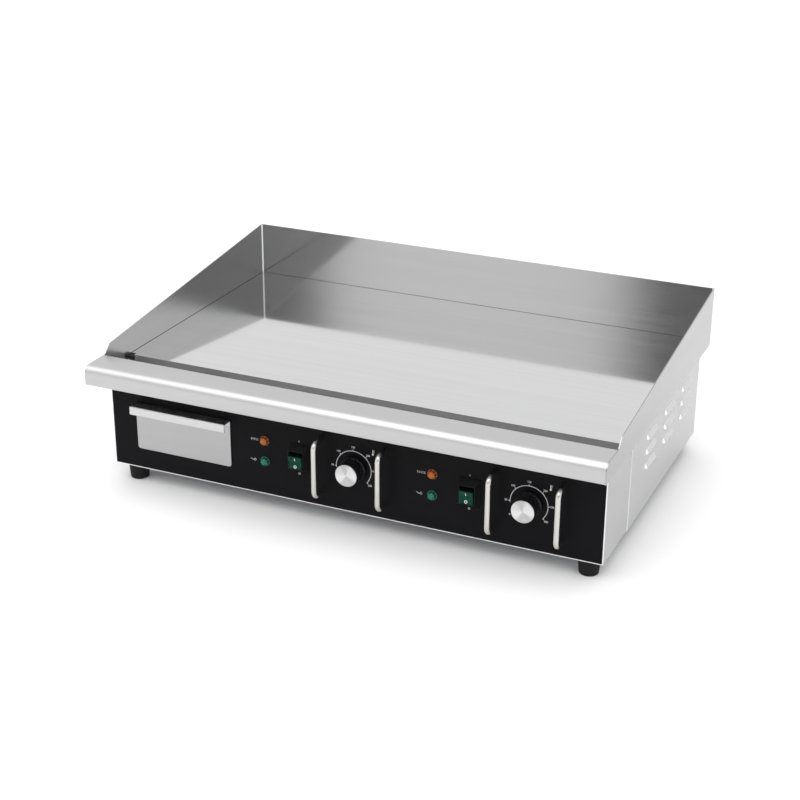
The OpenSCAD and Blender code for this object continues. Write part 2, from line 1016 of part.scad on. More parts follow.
// Tapered rubber foot with a recess for its bolt head
module foot(x, y) {
    color([0.07, 0.07, 0.07])
        translate([x, y, 0])
            rotate_extrude()
                polygon(concat(
                    [[recess_r, 0]],
                    arc([foot_bottom_r - foot_edge, foot_edge], foot_edge, 270, 360, 5),
                    [[foot_r, foot_h], [3.1, foot_h], [3.1, recess_h], [recess_r, recess_h]]
                ));
}

module foot_front_left() {
    foot(-foot_x, foot_y[0]);
}

module foot_front_right() {
    foot(foot_x, foot_y[0]);
}

module foot_rear_left() {
    foot(-foot_x, foot_y[1]);
}

module foot_rear_right() {
    foot(foot_x, foot_y[1]);
}

module foot_bolts() {
    color("silver")
        for (x = [-foot_x, foot_x])
            for (y = foot_y)
                translate([x, y, recess_h - 5]) {
                    cylinder(h = 5, r = 5);
                    cylinder(h = base_top - recess_h + 13, r = 2.9);
                    translate([0, 0, base_top - recess_h + 5])
                        cylinder(h = 5, r = 5.7, $fn = 6);
                }
}

module case_screws() {
    color("silver")
        for (p = screw_spots) {
            bar_y(p[0], box_rear_y - case_t, box_rear_y, p[1], screw_r);
            bar_y(p[0], box_rear_y, box_rear_y + 1.2, p[1], screw_head_r);
            bar_y(p[0], box_rear_y + 1.2 - eps, box_rear_y + 2.4, p[1], screw_head_r, 2.4);
        }
}

griddle_plate();
plate_studs();
element_left();
element_right();
clamp_bars();
clamp_nuts();
insulation_pad();
heat_shield();
splash_left();
splash_right();
splash_back();
front_nose();
oil_trough();
drain_spout();
front_frame();
control_panel();
side_panel_left();
side_panel_right();
back_panel();
base_pan();
drawer_rail_left();
drawer_rail_right();
drawer_stop_bracket();
drawer_front();
drawer_box();
guard_bar_1();
guard_bar_2();
guard_bar_3();
guard_bar_4();
guard_bar_nuts();
lamp_heat_left();
lamp_power_left();
lamp_heat_right();
lamp_power_right();
lamp_bodies();
switch_housing_left();
switch_housing_right();
rocker_left();
rocker_right();
thermostat_left();
thermostat_right();
capillary_left();
capillary_right();
knob_left();
knob_right();
knob_cap_left();
knob_cap_right();
knob_spindle_left();
knob_spindle_right();
terminal_block();
wiring_loom();
cable_gland();
gland_nut();
equipotential_stud();
foot_front_left();
foot_front_right();
foot_rear_left();
foot_rear_right();
foot_bolts();
case_screws();
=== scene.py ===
import math

import bmesh
import bpy
from mathutils import Matrix, Vector


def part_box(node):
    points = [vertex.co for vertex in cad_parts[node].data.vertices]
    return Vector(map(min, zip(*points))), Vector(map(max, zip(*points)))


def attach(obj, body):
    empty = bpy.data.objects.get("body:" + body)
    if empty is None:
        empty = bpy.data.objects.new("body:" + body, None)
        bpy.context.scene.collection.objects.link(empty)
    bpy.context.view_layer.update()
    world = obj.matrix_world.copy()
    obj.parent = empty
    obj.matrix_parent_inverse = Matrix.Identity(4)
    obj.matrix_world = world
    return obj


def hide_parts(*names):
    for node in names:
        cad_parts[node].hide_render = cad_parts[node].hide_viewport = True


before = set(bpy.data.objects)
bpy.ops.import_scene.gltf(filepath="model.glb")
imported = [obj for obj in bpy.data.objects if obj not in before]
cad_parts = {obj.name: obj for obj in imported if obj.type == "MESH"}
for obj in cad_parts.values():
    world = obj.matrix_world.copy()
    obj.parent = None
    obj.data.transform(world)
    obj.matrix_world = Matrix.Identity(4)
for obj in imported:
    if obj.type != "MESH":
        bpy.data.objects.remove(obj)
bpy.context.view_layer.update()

mm = 0.001


# ---- Studio ----
# The griddle stands on a pale worktop under a broad overhead softbox. The room in front of it is
# dark apart from two tall strip lights, so that the walls show a bright middle and dark corners.


def socket_of(sockets, key):
    """A socket by its place, or by its identifier or its name with _ for a space."""
    if isinstance(key, int):
        return sockets[key]
    return next(s for s in sockets if key in (s.identifier, s.name.replace(" ", "_")))


class Wire:
    """The output of a node, which does arithmetic with numbers and other wires."""

    def __init__(self, bench, socket):
        self.bench = bench
        self.socket = socket

    def maths(self, operation, *others):
        return self.bench.maths(operation, self, *others)

    def ramp(self, low, high, start=0.0, end=1.0):
        """Goes smoothly from start to end while this value goes from low to high."""
        return self.bench.node(
            "ShaderNodeMapRange", {"interpolation_type": "SMOOTHSTEP"},
            Value=self, From_Min=low, From_Max=high, To_Min=start, To_Max=end,
        )

    def __add__(self, other):
        return self.maths("ADD", other)

    def __sub__(self, other):
        return self.maths("SUBTRACT", other)

    def __rsub__(self, other):
        return self.bench.maths("SUBTRACT", other, self)

    def __mul__(self, other):
        return self.maths("MULTIPLY", other)

    def __truediv__(self, other):
        return self.maths("DIVIDE", other)

    def __pow__(self, other):
        return self.maths("POWER", other)

    __radd__ = __add__
    __rmul__ = __mul__


class Bench:
    """A node tree under construction, for a surface, the room's light or a shape."""

    def __init__(self, tree):
        self.tree = tree

    def node(self, kind, settings=None, *in_order, outlet=0, **named):
        """A new node: its settings, then the values or links of its sockets."""
        made = self.tree.nodes.new(kind)
        for name, value in (settings or {}).items():
            setattr(made, name, value)
        for key, value in [*enumerate(in_order), *named.items()]:
            self.feed(socket_of(made.inputs, key), value)
        return None if outlet is None else Wire(self, socket_of(made.outputs, outlet))

    def feed(self, socket, value):
        if isinstance(value, Wire):
            self.tree.links.new(value.socket, socket)
        else:
            socket.default_value = value

    def maths(self, operation, *values):
        return self.node("ShaderNodeMath", {"operation": operation}, *values)

    def axes(self, vector):
        """The three parts of a vector."""
        split = self.node("ShaderNodeSeparateXYZ", Vector=vector)
        return [Wire(self, socket) for socket in split.socket.node.outputs]

    def blend(self, share, first, second):
        """A colour between two colours."""
        return self.node("ShaderNodeMix", {"data_type": "RGBA"}, outlet="Result_Color",
                         Factor_Float=share, A_Color=first, B_Color=second)


def light_room():
    room_light, dark_room, strip_light, softbox, window = 1.05, 0.21, 1.30, 2.7, 0.3
    softbox_up, softbox_back = 0.93, 0.37
    strip_centre = math.tan(math.radians(21.2))
    strip_half, strip_edge = 0.108, 0.124
    room = bpy.data.worlds.new("room")
    room.use_nodes = True
    bench = Bench(room.node_tree)
    bench.tree.nodes.clear()
    x, y, z = bench.axes(bench.node("ShaderNodeTexCoord", outlet="Generated"))
    forward = 0 - y
    overhead = (z * softbox_up - y * softbox_back).ramp(0.70, 0.90)
    sideways = x / forward.maths("MAXIMUM", 0.05)
    front = z.ramp(0.17, 0.24) * z.ramp(0.45, 0.54, 1.0, 0.0)
    front = front * sideways.ramp(-0.68, -0.60) * forward.ramp(0.35, 0.62)
    from_strip = (sideways.maths("ABSOLUTE") - strip_centre).maths("ABSOLUTE")
    strip = from_strip.ramp(strip_half, strip_edge, 1.0, 0.0)
    in_front = dark_room + strip * (strip_light - dark_room)
    level = room_light + front * (in_front - room_light)
    level = level + x.ramp(0.2, 0.5) * z.ramp(0.12, 0.24, 1.0, 0.0) * window
    level = level + overhead * (softbox - level)
    white = (1.0, 1.0, 1.0, 1.0)
    glow = bench.node("ShaderNodeBackground", Color=white, Strength=level)
    bench.node("ShaderNodeOutputWorld", Surface=glow, outlet=None)
    bpy.context.scene.world = room


class Finish(Bench):
    """A surface finish: constants go on the shader's own sockets, and wires feed what varies."""

    def __init__(self, name, **constants):
        self.material = bpy.data.materials.new(name)
        self.material.use_nodes = True
        super().__init__(self.material.node_tree)
        self.shader = self.tree.nodes["Principled BSDF"]
        self.place = self.node("ShaderNodeTexCoord", outlet="Object")
        self.set(**constants)

    def set(self, **values):
        for name, value in values.items():
            self.feed(socket_of(self.shader.inputs, name), value)

    def noise(self, scale, detail=2.0, stretch=(1, 1, 1), roughness=0.5):
        """Cloudy noise, its grain drawn out where stretch is small."""
        spread = self.node("ShaderNodeMapping", Vector=self.place, Scale=stretch)
        return self.node("ShaderNodeTexNoise", Vector=spread, Scale=scale, Detail=detail,
                         Roughness=roughness)

    def relief(self, height, depth, strength=1.0):
        """A bump from a height of 0 to 1, depth being its real size."""
        return self.node("ShaderNodeBump", Height=height, Distance=depth, Strength=strength)

    def along(self, axis):
        """The place along an axis: 0, 1 or 2."""
        return self.axes(self.place)[axis]

    def round_axis(self, centre):
        """Distance from an axis that runs out of the panel, and the angle about it."""
        shift = (-centre[0], 0, -centre[1])
        x, _, z = self.axes(self.node("ShaderNodeMapping", Vector=self.place, Location=shift))
        return (x * x + z * z).maths("SQRT"), z.maths("ARCTAN2", x)


def grey(level, blue=0.0):
    return (level, level, level + blue, 1)


def shown(name, data):
    obj = bpy.data.objects.new(name, data)
    bpy.context.scene.collection.objects.link(obj)
    return obj


light_room()
bpy.context.scene.view_settings.view_transform = "Standard"

worktop_finish = Finish("worktop", Roughness=0.9, Specular_IOR_Level=0.0)
speckle = worktop_finish.noise(40, 3)
worktop_finish.set(Base_Color=worktop_finish.blend(speckle, grey(0.81), grey(0.83)))
worktop_half = 12.0
worktop_mesh = bpy.data.meshes.new("worktop")
worktop_mesh.from_pydata(
    [(x * worktop_half, y * worktop_half, 0) for x, y in ((-1, -1), (1, -1), (1, 1), (-1, 1))],
    [], [(0, 1, 2, 3)],
)
worktop_mesh.materials.append(worktop_finish.material)
shown("worktop", worktop_mesh)

camera = shown("camera", bpy.data.cameras.new("camera"))
camera.data.lens = 72.18
camera.data.sensor_width = 36.0
camera_right = Vector((0.9135, 0.4067, 0.0061))
camera_up = Vector((-0.1666, 0.3603, 0.9179))
camera_back = camera_right.cross(camera_up).normalized()
camera_up = camera_back.cross(camera_right).normalized()
turned_axes = Matrix((camera_right.normalized(), camera_up, camera_back)).transposed()
camera.matrix_world = Matrix.Translation((0.828, -1.900, 1.000)) @ turned_axes.to_4x4()
bpy.context.scene.camera = camera


# ---- Splash walls ----
# Three 1.5 mm stainless sheets, brushed along their length and polished inside, are welded
# upright round the tray; the side walls' outer faces are coloured darker as painted shade. The
# side walls are cut with the nose's round end, a rise behind it and a slope up to the rear.


def brushed_steel(name, grain_axis, tone=0.58, rough=0.30, depth=0.9):
    """Satin stainless steel, its grain along an axis, with a few longer drawn scratches."""
    steel = Finish(name, Metallic=1.0)

    def spread(across, along):
        return [along if axis == grain_axis else across for axis in range(3)]

    grain = steel.noise(1.0, 3, spread(1100.0, 9.0), 0.6)
    drawn = steel.noise(1.0, 2, spread(160.0, 2.5))
    handled = steel.noise(9.0, 3)
    shade = grain * 0.35 + drawn * 0.35 + handled * 0.3
    steel.set(
        Base_Color=steel.blend(shade, grey(tone * 0.92, tone * 0.005), grey(tone * 1.07)),
        Roughness=rough + (grain - 0.5) * 0.07 + (handled - 0.5) * 0.05,
        Normal=steel.relief(grain, depth * 0.012 * mm, 0.5),
    )
    return steel


def arc(centre, radius, start, end, steps):
    """Points on an arc in a drawing of two axes, angles in degrees."""
    turns = [math.radians(start + (end - start) * i / steps) for i in range(steps + 1)]
    return [(centre[0] + radius * math.cos(a), centre[1] + radius * math.sin(a)) for a in turns]


def extruded(outline, low, high, axis):
    """A solid with this outline, drawn in the other two axes, between two places on an axis."""
    def at(u, v, w):
        return {"x": (w, u, v), "y": (u, w, v), "z": (u, v, w)}[axis]
    n = len(outline)
    points = [at(u, v, w) for w in (low, high) for u, v in outline]
    sides = [(i, (i + 1) % n, n + (i + 1) % n, n + i) for i in range(n)]
    return points, [tuple(range(n)), tuple(range(n, 2 * n)), *sides]


def rectangle(u0, v0, u1, v1):
    return [(u0, v0), (u1, v0), (u1, v1), (u0, v1)]


def slab(xs, ys, zs):
    """A block between two places on each axis."""
    return extruded(rectangle(xs[0], ys[0], xs[1], ys[1]), *zs, "z")


def span(side, near, far):
    return sorted((side * near, side * far))


def smoothed(obj, crease=35):
    obj.data.shade_smooth()
    obj.data.set_sharp_from_angle(angle=math.radians(crease))
    return obj


def modified(obj, name, kind, **settings):
    modifier = obj.modifiers.new(name, kind)
    for key, value in settings.items():
        setattr(modifier, key, value)


def made(name, shape, finish, slot, body="chassis", stands_for=(), crease=30, edge=0.0, steps=2):
    """A finished piece: a closed shape with its material, on its body, its edges eased if asked."""
    mesh = bpy.data.meshes.new(name)
    mesh.from_pydata(shape[0], [], shape[1])
    work = bmesh.new()
    work.from_mesh(mesh)
    bmesh.ops.remove_doubles(work, verts=work.verts, dist=1e-7)
    bmesh.ops.recalc_face_normals(work, faces=work.faces)
    work.to_mesh(mesh)
    work.free()
    mesh.materials.append(finish.material)
    obj = smoothed(shown(name, mesh), crease)
    if edge:
        modified(obj, "eased_edges", "BEVEL", width=edge, segments=steps, limit_method="ANGLE",
                 angle_limit=math.radians(crease + 5), harden_normals=True)
    return placed(obj, slot, body, stands_for)


def placed(obj, slot, body="chassis", stands_for=()):
    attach(obj, body)
    if stands_for:
        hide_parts(*stands_for)
    return obj


def dress(finish, *nodes):
    """Gives a finish to parts that are shown as they come."""
    for node in nodes:
        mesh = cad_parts[node].data
        mesh.materials.clear()
        mesh.materials.append(finish.material)


sides = ((-1, "left"), (1, "right"))
along_x, along_y, along_z = 0, 1, 2
wall_low, wall_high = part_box("splash_right")
nose_low, nose_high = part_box("front_nose")
plate_low, plate_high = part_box("griddle_plate")
wall_t = wall_high.x - wall_low.x
inner_x = wall_low.x
nose_r = 11 * mm
rise_run = 11 * mm
shoulder_r = 8 * mm
eased = 0.35 * mm

side_steel = brushed_steel("side_wall_steel", along_y, rough=0.24)
# The outer faces get a darker colour than the inner ones: painted shade.
outward = side_steel.along(0).maths("ABSOLUTE").ramp(inner_x + 0.4 * mm, inner_x + 0.8 * mm)
drawn = side_steel.noise(1.0, 2, (160, 2.5, 160))
outer = side_steel.blend(drawn, grey(0.335, 0.005), grey(0.38))
inner = side_steel.blend(drawn, grey(0.515, 0.005), grey(0.59))
side_steel.set(Base_Color=side_steel.blend(outward, inner, outer))
back_steel = brushed_steel("back_wall_steel", along_x, rough=0.10, depth=0.4)


def side_outline():
    shoulder_y = nose_high.y + rise_run + shoulder_r * math.cos(math.radians(45))
    shoulder_z = nose_high.z + rise_run - 1 * mm - shoulder_r * math.sin(math.radians(45))
    left_to_climb = wall_high.z - shoulder_z - shoulder_r
    climb = math.degrees(math.atan2(left_to_climb, wall_high.y - shoulder_y))
    front_round = arc((wall_low.y + nose_r, nose_high.z - nose_r), nose_r, 180, 90, 16)
    shoulder = arc((shoulder_y, shoulder_z), shoulder_r, 135, 90 + climb, 10)
    foot = [(nose_high.y - 2 * mm, nose_high.z), (nose_high.y + 1 * mm, nose_high.z + 0.6 * mm)]
    rear = [(wall_high.y, wall_high.z), (wall_high.y, wall_low.z)]
    return [(wall_low.y, wall_low.z), *front_round, *foot, *shoulder, *rear]


for side, name in sides:
    wall = extruded(side_outline(), *span(side, inner_x, inner_x + wall_t), "x")
    made("side_wall_" + name, wall, side_steel, "tray_steel",
         stands_for=["splash_" + name], crease=12, edge=eased)

back_wall = slab((-inner_x, inner_x), (plate_high.y, wall_high.y), (wall_low.z, wall_high.z))
made("back_wall", back_wall, back_steel, "tray_steel", stands_for=["splash_back"], edge=eased)


# ---- Corner welds ----
# The side walls meet the rear one in an upright weld, which is ground to a small hollow fillet
# and polished by hand. Its near-white colour is a painted highlight along the corner.

weld_r = 1.3 * mm
# The weld's near-white, weakly metallic colour paints the bright line in the corner.
weld_highlight_steel = brushed_steel("ground_weld", along_z, tone=0.93, rough=0.5)
weld_highlight_steel.set(Metallic=0.1)
for side, name in sides:
    corner = (side * inner_x, plate_high.y)
    centre = (corner[0] - side * weld_r, corner[1] - weld_r)
    hollow = arc(centre, weld_r, 0 if side > 0 else 180, 90, 10)
    fillet = extruded([corner, *hollow], plate_high.z, wall_high.z - 0.6 * mm, "z")
    made("corner_weld_" + name, fillet, weld_highlight_steel, "tray_steel", crease=60)


# ---- Front nose ----
# One sheet bent into a hollow box edge: return under the front, tall face, round top edge, flat
# top and a short drop into the trough.

nose_steel = brushed_steel("nose_steel", along_x, tone=0.515, rough=0.38, depth=0.4)
nose_drop = 12 * mm
nose_centre = (nose_low.y + nose_r, nose_high.z - nose_r)
nose_profile = [
    (nose_high.y - 1 * mm, nose_low.z), (nose_low.y + 1.2 * mm, nose_low.z),
    *arc((nose_low.y + 1.6 * mm, nose_low.z + 1.6 * mm), 1.6 * mm, 270, 180, 5)[1:],
    *arc(nose_centre, nose_r, 180, 90, 20),
    *arc((nose_high.y - 1.8 * mm, nose_high.z - 1.8 * mm), 1.8 * mm, 90, 0, 6),
    (nose_high.y, nose_high.z - nose_drop), (nose_high.y - wall_t, nose_high.z - nose_drop),
    (nose_high.y - wall_t, nose_high.z - wall_t),
    *arc(nose_centre, nose_r - wall_t, 90, 180, 12),
    (nose_low.y + wall_t, nose_low.z + wall_t), (nose_high.y - 1 * mm, nose_low.z + wall_t),
]
made("nose", extruded(nose_profile, -inner_x, inner_x, "x"), nose_steel, "nose_steel",
     stands_for=["front_nose"], crease=35)


# ---- Griddle plate ----
# An 8 mm steel plate, ground flat, plated and polished to a soft mirror with a milled front edge.
# The cloth's path and light use leave long fine scratches and a slight haze. Near-black blocks
# fill the notches at its front corners as painted shade of the gap there.

plate_finish = Finish("polished_plate", Metallic=1.0)
fine_lines = plate_finish.noise(1.0, 3, (7, 1300, 1300), 0.6)
long_lines = plate_finish.noise(1.0, 2, (2, 190, 190))
haze = plate_finish.noise(6.5, 4, (0.5, 1, 1))
milled = plate_finish.along(1).ramp(plate_low.y + 0.05 * mm, plate_low.y + 0.3 * mm, 1.0, 0.0)
wiping = long_lines.ramp(0.3, 0.7) * 0.6 + haze * 0.4
polished = plate_finish.blend(wiping, (0.592, 0.594, 0.596, 1), grey(0.630))
plate_finish.set(
    Base_Color=plate_finish.blend(milled, polished, grey(0.46, 0.005)),
    Roughness=0.075 + (haze - 0.5) * 0.05 + (fine_lines - 0.5) * 0.05 + milled * 0.45,
    Normal=plate_finish.relief(long_lines * 0.6 + fine_lines * 0.4, 0.004 * mm, 0.35),
)
notch_w = 8 * mm
notch_d = 6 * mm
notch_x = plate_high.x - notch_w
notch_y = plate_low.y + notch_d
edge_x = plate_high.x
right_half = [(notch_x, plate_low.y), (notch_x, notch_y), (edge_x, notch_y), (edge_x, plate_high.y)]
plate_outline = right_half + [(-x, y) for x, y in reversed(right_half)]
made("plate", extruded(plate_outline, plate_low.z, plate_high.z, "z"), plate_finish, "plate",
     stands_for=["griddle_plate"], edge=0.2 * mm)


# ---- Grease trough ----
# A folded stainless channel closes the gap between nose and plate. Grease leaves it through a
# spout above the drawer. Heat and use have left it a little darker than the walls.

trough_steel = brushed_steel("trough_steel", along_x, rough=0.42)
stain = trough_steel.noise(34, 4, (0.35, 1, 1)).ramp(0.42, 0.70)
trough_steel.set(Base_Color=trough_steel.blend(stain, grey(0.44), (0.33, 0.32, 0.30, 1)))
dress(trough_steel, "oil_trough", "drain_spout")


# ---- Heating under the plate ----
# Serpentine sheathed elements are clamped to welded studs, with a fibre board and a tinned pan
# below them. The sheath turns dull and dark with its first firing.


def mottled(name, light, dark, rough, scale=60, metal=0.0, grit=0.02, **constants):
    """A matt material with soft blotches and a fine grit."""
    finish = Finish(name, Metallic=metal, **constants)
    blotch = finish.noise(scale, 4)
    grains = finish.noise(scale * 22, 2)
    finish.set(
        Base_Color=finish.blend(blotch, (*light, 1), (*dark, 1)),
        Roughness=rough + (blotch - 0.5) * 0.08,
        Normal=finish.relief(grains * 0.6 + blotch * 0.4, grit * mm, 0.6),
    )
    return finish


# Near-black sealant fills the plate's joints; the same finish fills the corner notches as painted
# shade.
sealant = mottled("sealant", (0.012, 0.012, 0.012), (0.006, 0.006, 0.006), 0.7, 200, grit=0.05)
seam_z = (plate_high.z, plate_high.z + 0.15 * mm)
for side, name in sides:
    # The block in each corner notch is painted shade of the gap there.
    shade_filler = slab(
        span(side, edge_x, notch_x), (plate_low.y - 2 * mm, notch_y),
        (plate_low.z, plate_high.z - 1.5 * mm),
    )
    made("corner_seal_" + name, shade_filler, sealant, "tray_steel", edge=0.6 * mm)
    seam_x = span(side, edge_x, edge_x - 0.6 * mm)
    made("seam_" + name, slab(seam_x, (notch_y, plate_high.y), seam_z), sealant, "tray_steel")
seam_end = edge_x - 1 * mm
rear_seam = slab((-seam_end, seam_end), (plate_high.y - 0.5 * mm, plate_high.y), seam_z)
made("seam_rear", rear_seam, sealant, "tray_steel")
tinned_pan = mottled("tinned_pan", (0.56, 0.57, 0.58), (0.44, 0.45, 0.46), 0.36, 26, metal=1.0)
fastener = mottled("plain_fastener", (0.60, 0.60, 0.59), (0.50, 0.50, 0.49), 0.3, 90, metal=1.0)
dress(mottled("fired_sheath", (0.20, 0.19, 0.17), (0.10, 0.10, 0.105), 0.55, 45, metal=0.7),
      "element_left", "element_right")
dress(mottled("fibre_board", (0.74, 0.70, 0.61), (0.62, 0.57, 0.47), 0.95, 30, grit=0.3),
      "insulation_pad")
dress(tinned_pan, "heat_shield", "clamp_bars")
dress(fastener, "plate_studs", "clamp_nuts")


# ---- Front frame and base ----
# The case is folded from 1.2 mm sheet: a front frame with side returns, a rear panel, and a zinc
# plated base pan that carries the feet. They are screwed together from behind.

case_steel = brushed_steel("case_steel", along_x, tone=0.56, rough=0.30)
return_steel = brushed_steel("case_side_steel", along_y, rough=0.34)
pressed_steel = brushed_steel("pressed_steel", along_y, rough=0.20)
frame_steel = brushed_steel("frame_steel", along_y, rough=0.34)
zinc_plate = mottled("zinc_plate", (0.60, 0.61, 0.63), (0.47, 0.48, 0.50), 0.34, 18, metal=1.0)


def painted_light_low(steel, dull, bright):
    """The colour of an upright sheet, painted lighter towards its foot as painted light."""
    wiped = steel.along(2).ramp(30 * mm, 150 * mm, 1.0, 0.0)
    return steel.blend(wiped * 0.65 + steel.noise(220, 3) * 0.35, dull, bright)


frame_low, frame_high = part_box("front_frame")
# The frame's front-facing edge is coloured near white: a painted highlight line.
frame_edge_highlight = frame_steel.along(1).ramp(frame_low.y + 0.2 * mm, frame_low.y + 0.5 * mm, 1.0, 0.0)
frame_tone = painted_light_low(frame_steel, grey(0.43, 0.005), grey(0.525))
frame_steel.set(
    Base_Color=frame_steel.blend(frame_edge_highlight, frame_tone, grey(0.86)),
    Metallic=1.0 - frame_edge_highlight * 0.4,
)
# The case side panels are painted lighter towards the foot: painted light.
return_steel.set(Base_Color=painted_light_low(return_steel, grey(0.45, 0.005), grey(0.535)))
dress(frame_steel, "front_frame")
dress(case_steel, "back_panel")
dress(zinc_plate, "base_pan")


# ---- Control panel ----
# A steel sheet in hard black enamel with a slight orange peel. Dust and wiping leave it uneven
# in gloss.

enamel = Finish("black_enamel", Specular_IOR_Level=0.07)
peel = enamel.noise(420, 2)
wiped = enamel.noise(14, 4, (0.4, 1, 1))
dust = enamel.noise(900, 1).ramp(0.70, 0.80)
soiled = dust * 0.25 + wiped * 0.2
enamel.set(
    Base_Color=enamel.blend(soiled, grey(0.0035, 0.001), grey(0.012, 0.001)),
    Roughness=0.40 + (wiped - 0.5) * 0.16,
    Normal=enamel.relief(peel, 0.006 * mm, 0.4),
)
dress(enamel, "control_panel")


# ---- Louvred side panels ----
# Each side panel has nine hoods, lanced and pressed outwards over a slit, in three columns; their
# front ends carry a painted highlight. The panel laps over the front frame's return, and its front
# edge is coloured near white as a painted highlight line.


class Plan(Bench):
    """A shape made by a geometry tree, with named sizes as its inputs."""

    def __init__(self, name, **sizes):
        super().__init__(bpy.data.node_groups.new(name, "GeometryNodeTree"))
        self.tree.interface.new_socket("Mesh", in_out="OUTPUT", socket_type="NodeSocketGeometry")
        self.values = {}
        for label, value in sizes.items():
            kind = "NodeSocketInt" if isinstance(value, int) else "NodeSocketFloat"
            item = self.tree.interface.new_socket(label, in_out="INPUT", socket_type=kind)
            self.values[item.identifier] = value
        self.entry = self.tree.nodes.new("NodeGroupInput")

    def size(self, label):
        return Wire(self, self.entry.outputs[label])

    def vector(self, x=0.0, y=0.0, z=0.0):
        return self.node("ShaderNodeCombineXYZ", X=x, Y=y, Z=z)

    def row(self, count, offset):
        return self.node("GeometryNodeMeshLine", Count=count, Offset=offset)

    def grid(self, u, v, across, up):
        return self.node("GeometryNodeMeshGrid", None, u, v, across, up)

    def relieved(self, sheet, outside, place):
        """A sheet without its outside points, the others moved to their place."""
        trimmed = self.node("GeometryNodeDeleteGeometry", None, sheet, outside)
        return self.node("GeometryNodeSetPosition", Geometry=trimmed, Position=place)

    def moved(self, geometry, offset):
        return self.node("GeometryNodeTransform", Geometry=geometry, Translation=offset)

    def copies(self, points, instance, **turned):
        return self.node("GeometryNodeInstanceOnPoints", Points=points, Instance=instance, **turned)

    def build(self, geometry, name, finish):
        """The finished plain mesh, as an object at the origin."""
        real = self.node("GeometryNodeRealizeInstances", Geometry=geometry)
        coated = self.node("GeometryNodeSetMaterial", Geometry=real, Material=finish.material)
        self.node("NodeGroupOutput", None, coated, outlet=None)
        pattern = shown(name + "_pattern", bpy.data.meshes.new(name))
        modifier = pattern.modifiers.new("plan", "NODES")
        modifier.node_group = self.tree
        for identifier, value in self.values.items():
            modifier[identifier] = value
        mesh = plain_mesh(pattern)
        mesh.name = name
        return shown(name, mesh)


def plain_mesh(pattern):
    """The mesh that a live object evaluates to; the object itself goes."""
    evaluated = pattern.evaluated_get(bpy.context.evaluated_depsgraph_get())
    mesh = bpy.data.meshes.new_from_object(evaluated)
    bpy.data.objects.remove(pattern)
    return mesh


# A near-white, weakly metallic finish for the panels' front edge: a painted highlight.
cut_edge = brushed_steel("cut_edge", along_z, tone=0.95, rough=0.5)
cut_edge.set(Metallic=0.3)
panel_low, panel_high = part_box("side_panel_right")
case_t = 1.2 * mm
louvre_l = 34 * mm
louvre_rise = 4 * mm
louvre_r = 8 * mm
louvre_first = (panel_low.y + 72 * mm, frame_low.z + 60 * mm)
louvre_pitch = (87.5 * mm, 21 * mm)
louvre_count = 3
skin_x = frame_high.x + case_t
from_start = pressed_steel.along(1) - (louvre_first[0] - 2 * louvre_r)
into_rim = from_start.maths("MODULO", louvre_pitch[0]) / louvre_r
# A near-white band at each hood's front end is a painted highlight.
painted_end_highlight = into_rim.ramp(1.05, 1.2) * into_rim.ramp(1.45, 1.75, 1.0, 0.0)
rubbed = pressed_steel.noise(300, 3)
pressed_tone = pressed_steel.blend(rubbed, grey(0.46, 0.005), grey(0.52))
pressed_steel.set(
    Base_Color=pressed_steel.blend(painted_end_highlight, pressed_tone, grey(0.95)),
    Metallic=1.0 - painted_end_highlight * 0.6,
)


def pierced(u_lines, v_lines, holes):
    """Faces of a sheet cut by grid lines, without the cells that are holes."""
    points = [(u, v) for v in v_lines for u in u_lines]
    wide = len(u_lines)
    faces = []
    for row in range(len(v_lines) - 1):
        for column in range(wide - 1):
            if (column, row) not in holes:
                corner = row * wide + column
                faces.append((corner, corner + 1, corner + wide + 1, corner + wide))
    return points, faces


def facing(obj, direction):
    """Turns an open sheet's faces to look along a direction."""
    sheet = bmesh.new()
    sheet.from_mesh(obj.data)
    bmesh.ops.recalc_face_normals(sheet, faces=sheet.faces)
    if sum(face.normal.dot(direction) * face.calc_area() for face in sheet.faces) < 0:
        bmesh.ops.reverse_faces(sheet, faces=sheet.faces)
    sheet.to_mesh(obj.data)
    sheet.free()
    return obj


def louvre_hoods(side, name):
    """A height field over each slit: full height at the slit, easing to nothing round its rim."""
    plan = Plan(
        name, Length=louvre_l, Rim=louvre_r, Rise=louvre_rise, Side=float(side),
        Across=louvre_pitch[0], Up=louvre_pitch[1], Columns=louvre_count, Rows=louvre_count,
    )
    length, rim, outwards = plan.size("Length"), plan.size("Rim"), plan.size("Side")
    sheet = plan.grid(length + rim * 2.2, rim * 1.1, 61, 13)
    u, v, _ = plan.axes(plan.node("GeometryNodeInputPosition"))
    above = v + rim * 0.55
    beyond = (u.maths("ABSOLUTE") - length * 0.5).maths("MAXIMUM", 0.0)
    away = (beyond * beyond + above * above).maths("SQRT") / rim
    bulge = (away.maths("MINIMUM", 1.0) * math.pi).maths("COSINE") * 0.5 + 0.5
    bulge = bulge ** 0.8 * plan.size("Rise")
    place = plan.vector(bulge * outwards, u, above)
    hood = plan.relieved(sheet, away.maths("GREATER_THAN", 1.04), place)
    column = plan.copies(plan.row(plan.size("Rows"), plan.vector(z=plan.size("Up"))), hood)
    columns = plan.row(plan.size("Columns"), plan.vector(y=plan.size("Across")))
    field = plan.copies(columns, column)
    first_y, first_z = louvre_first
    field = plan.moved(field, plan.vector(outwards * skin_x, first_y + louvre_l / 2, first_z))
    hoods = facing(smoothed(plan.build(field, name, pressed_steel), 60), Vector((side, 0, 0)))
    modified(hoods, "sheet", "SOLIDIFY", thickness=0.8 * mm, offset=-1.0)
    return hoods


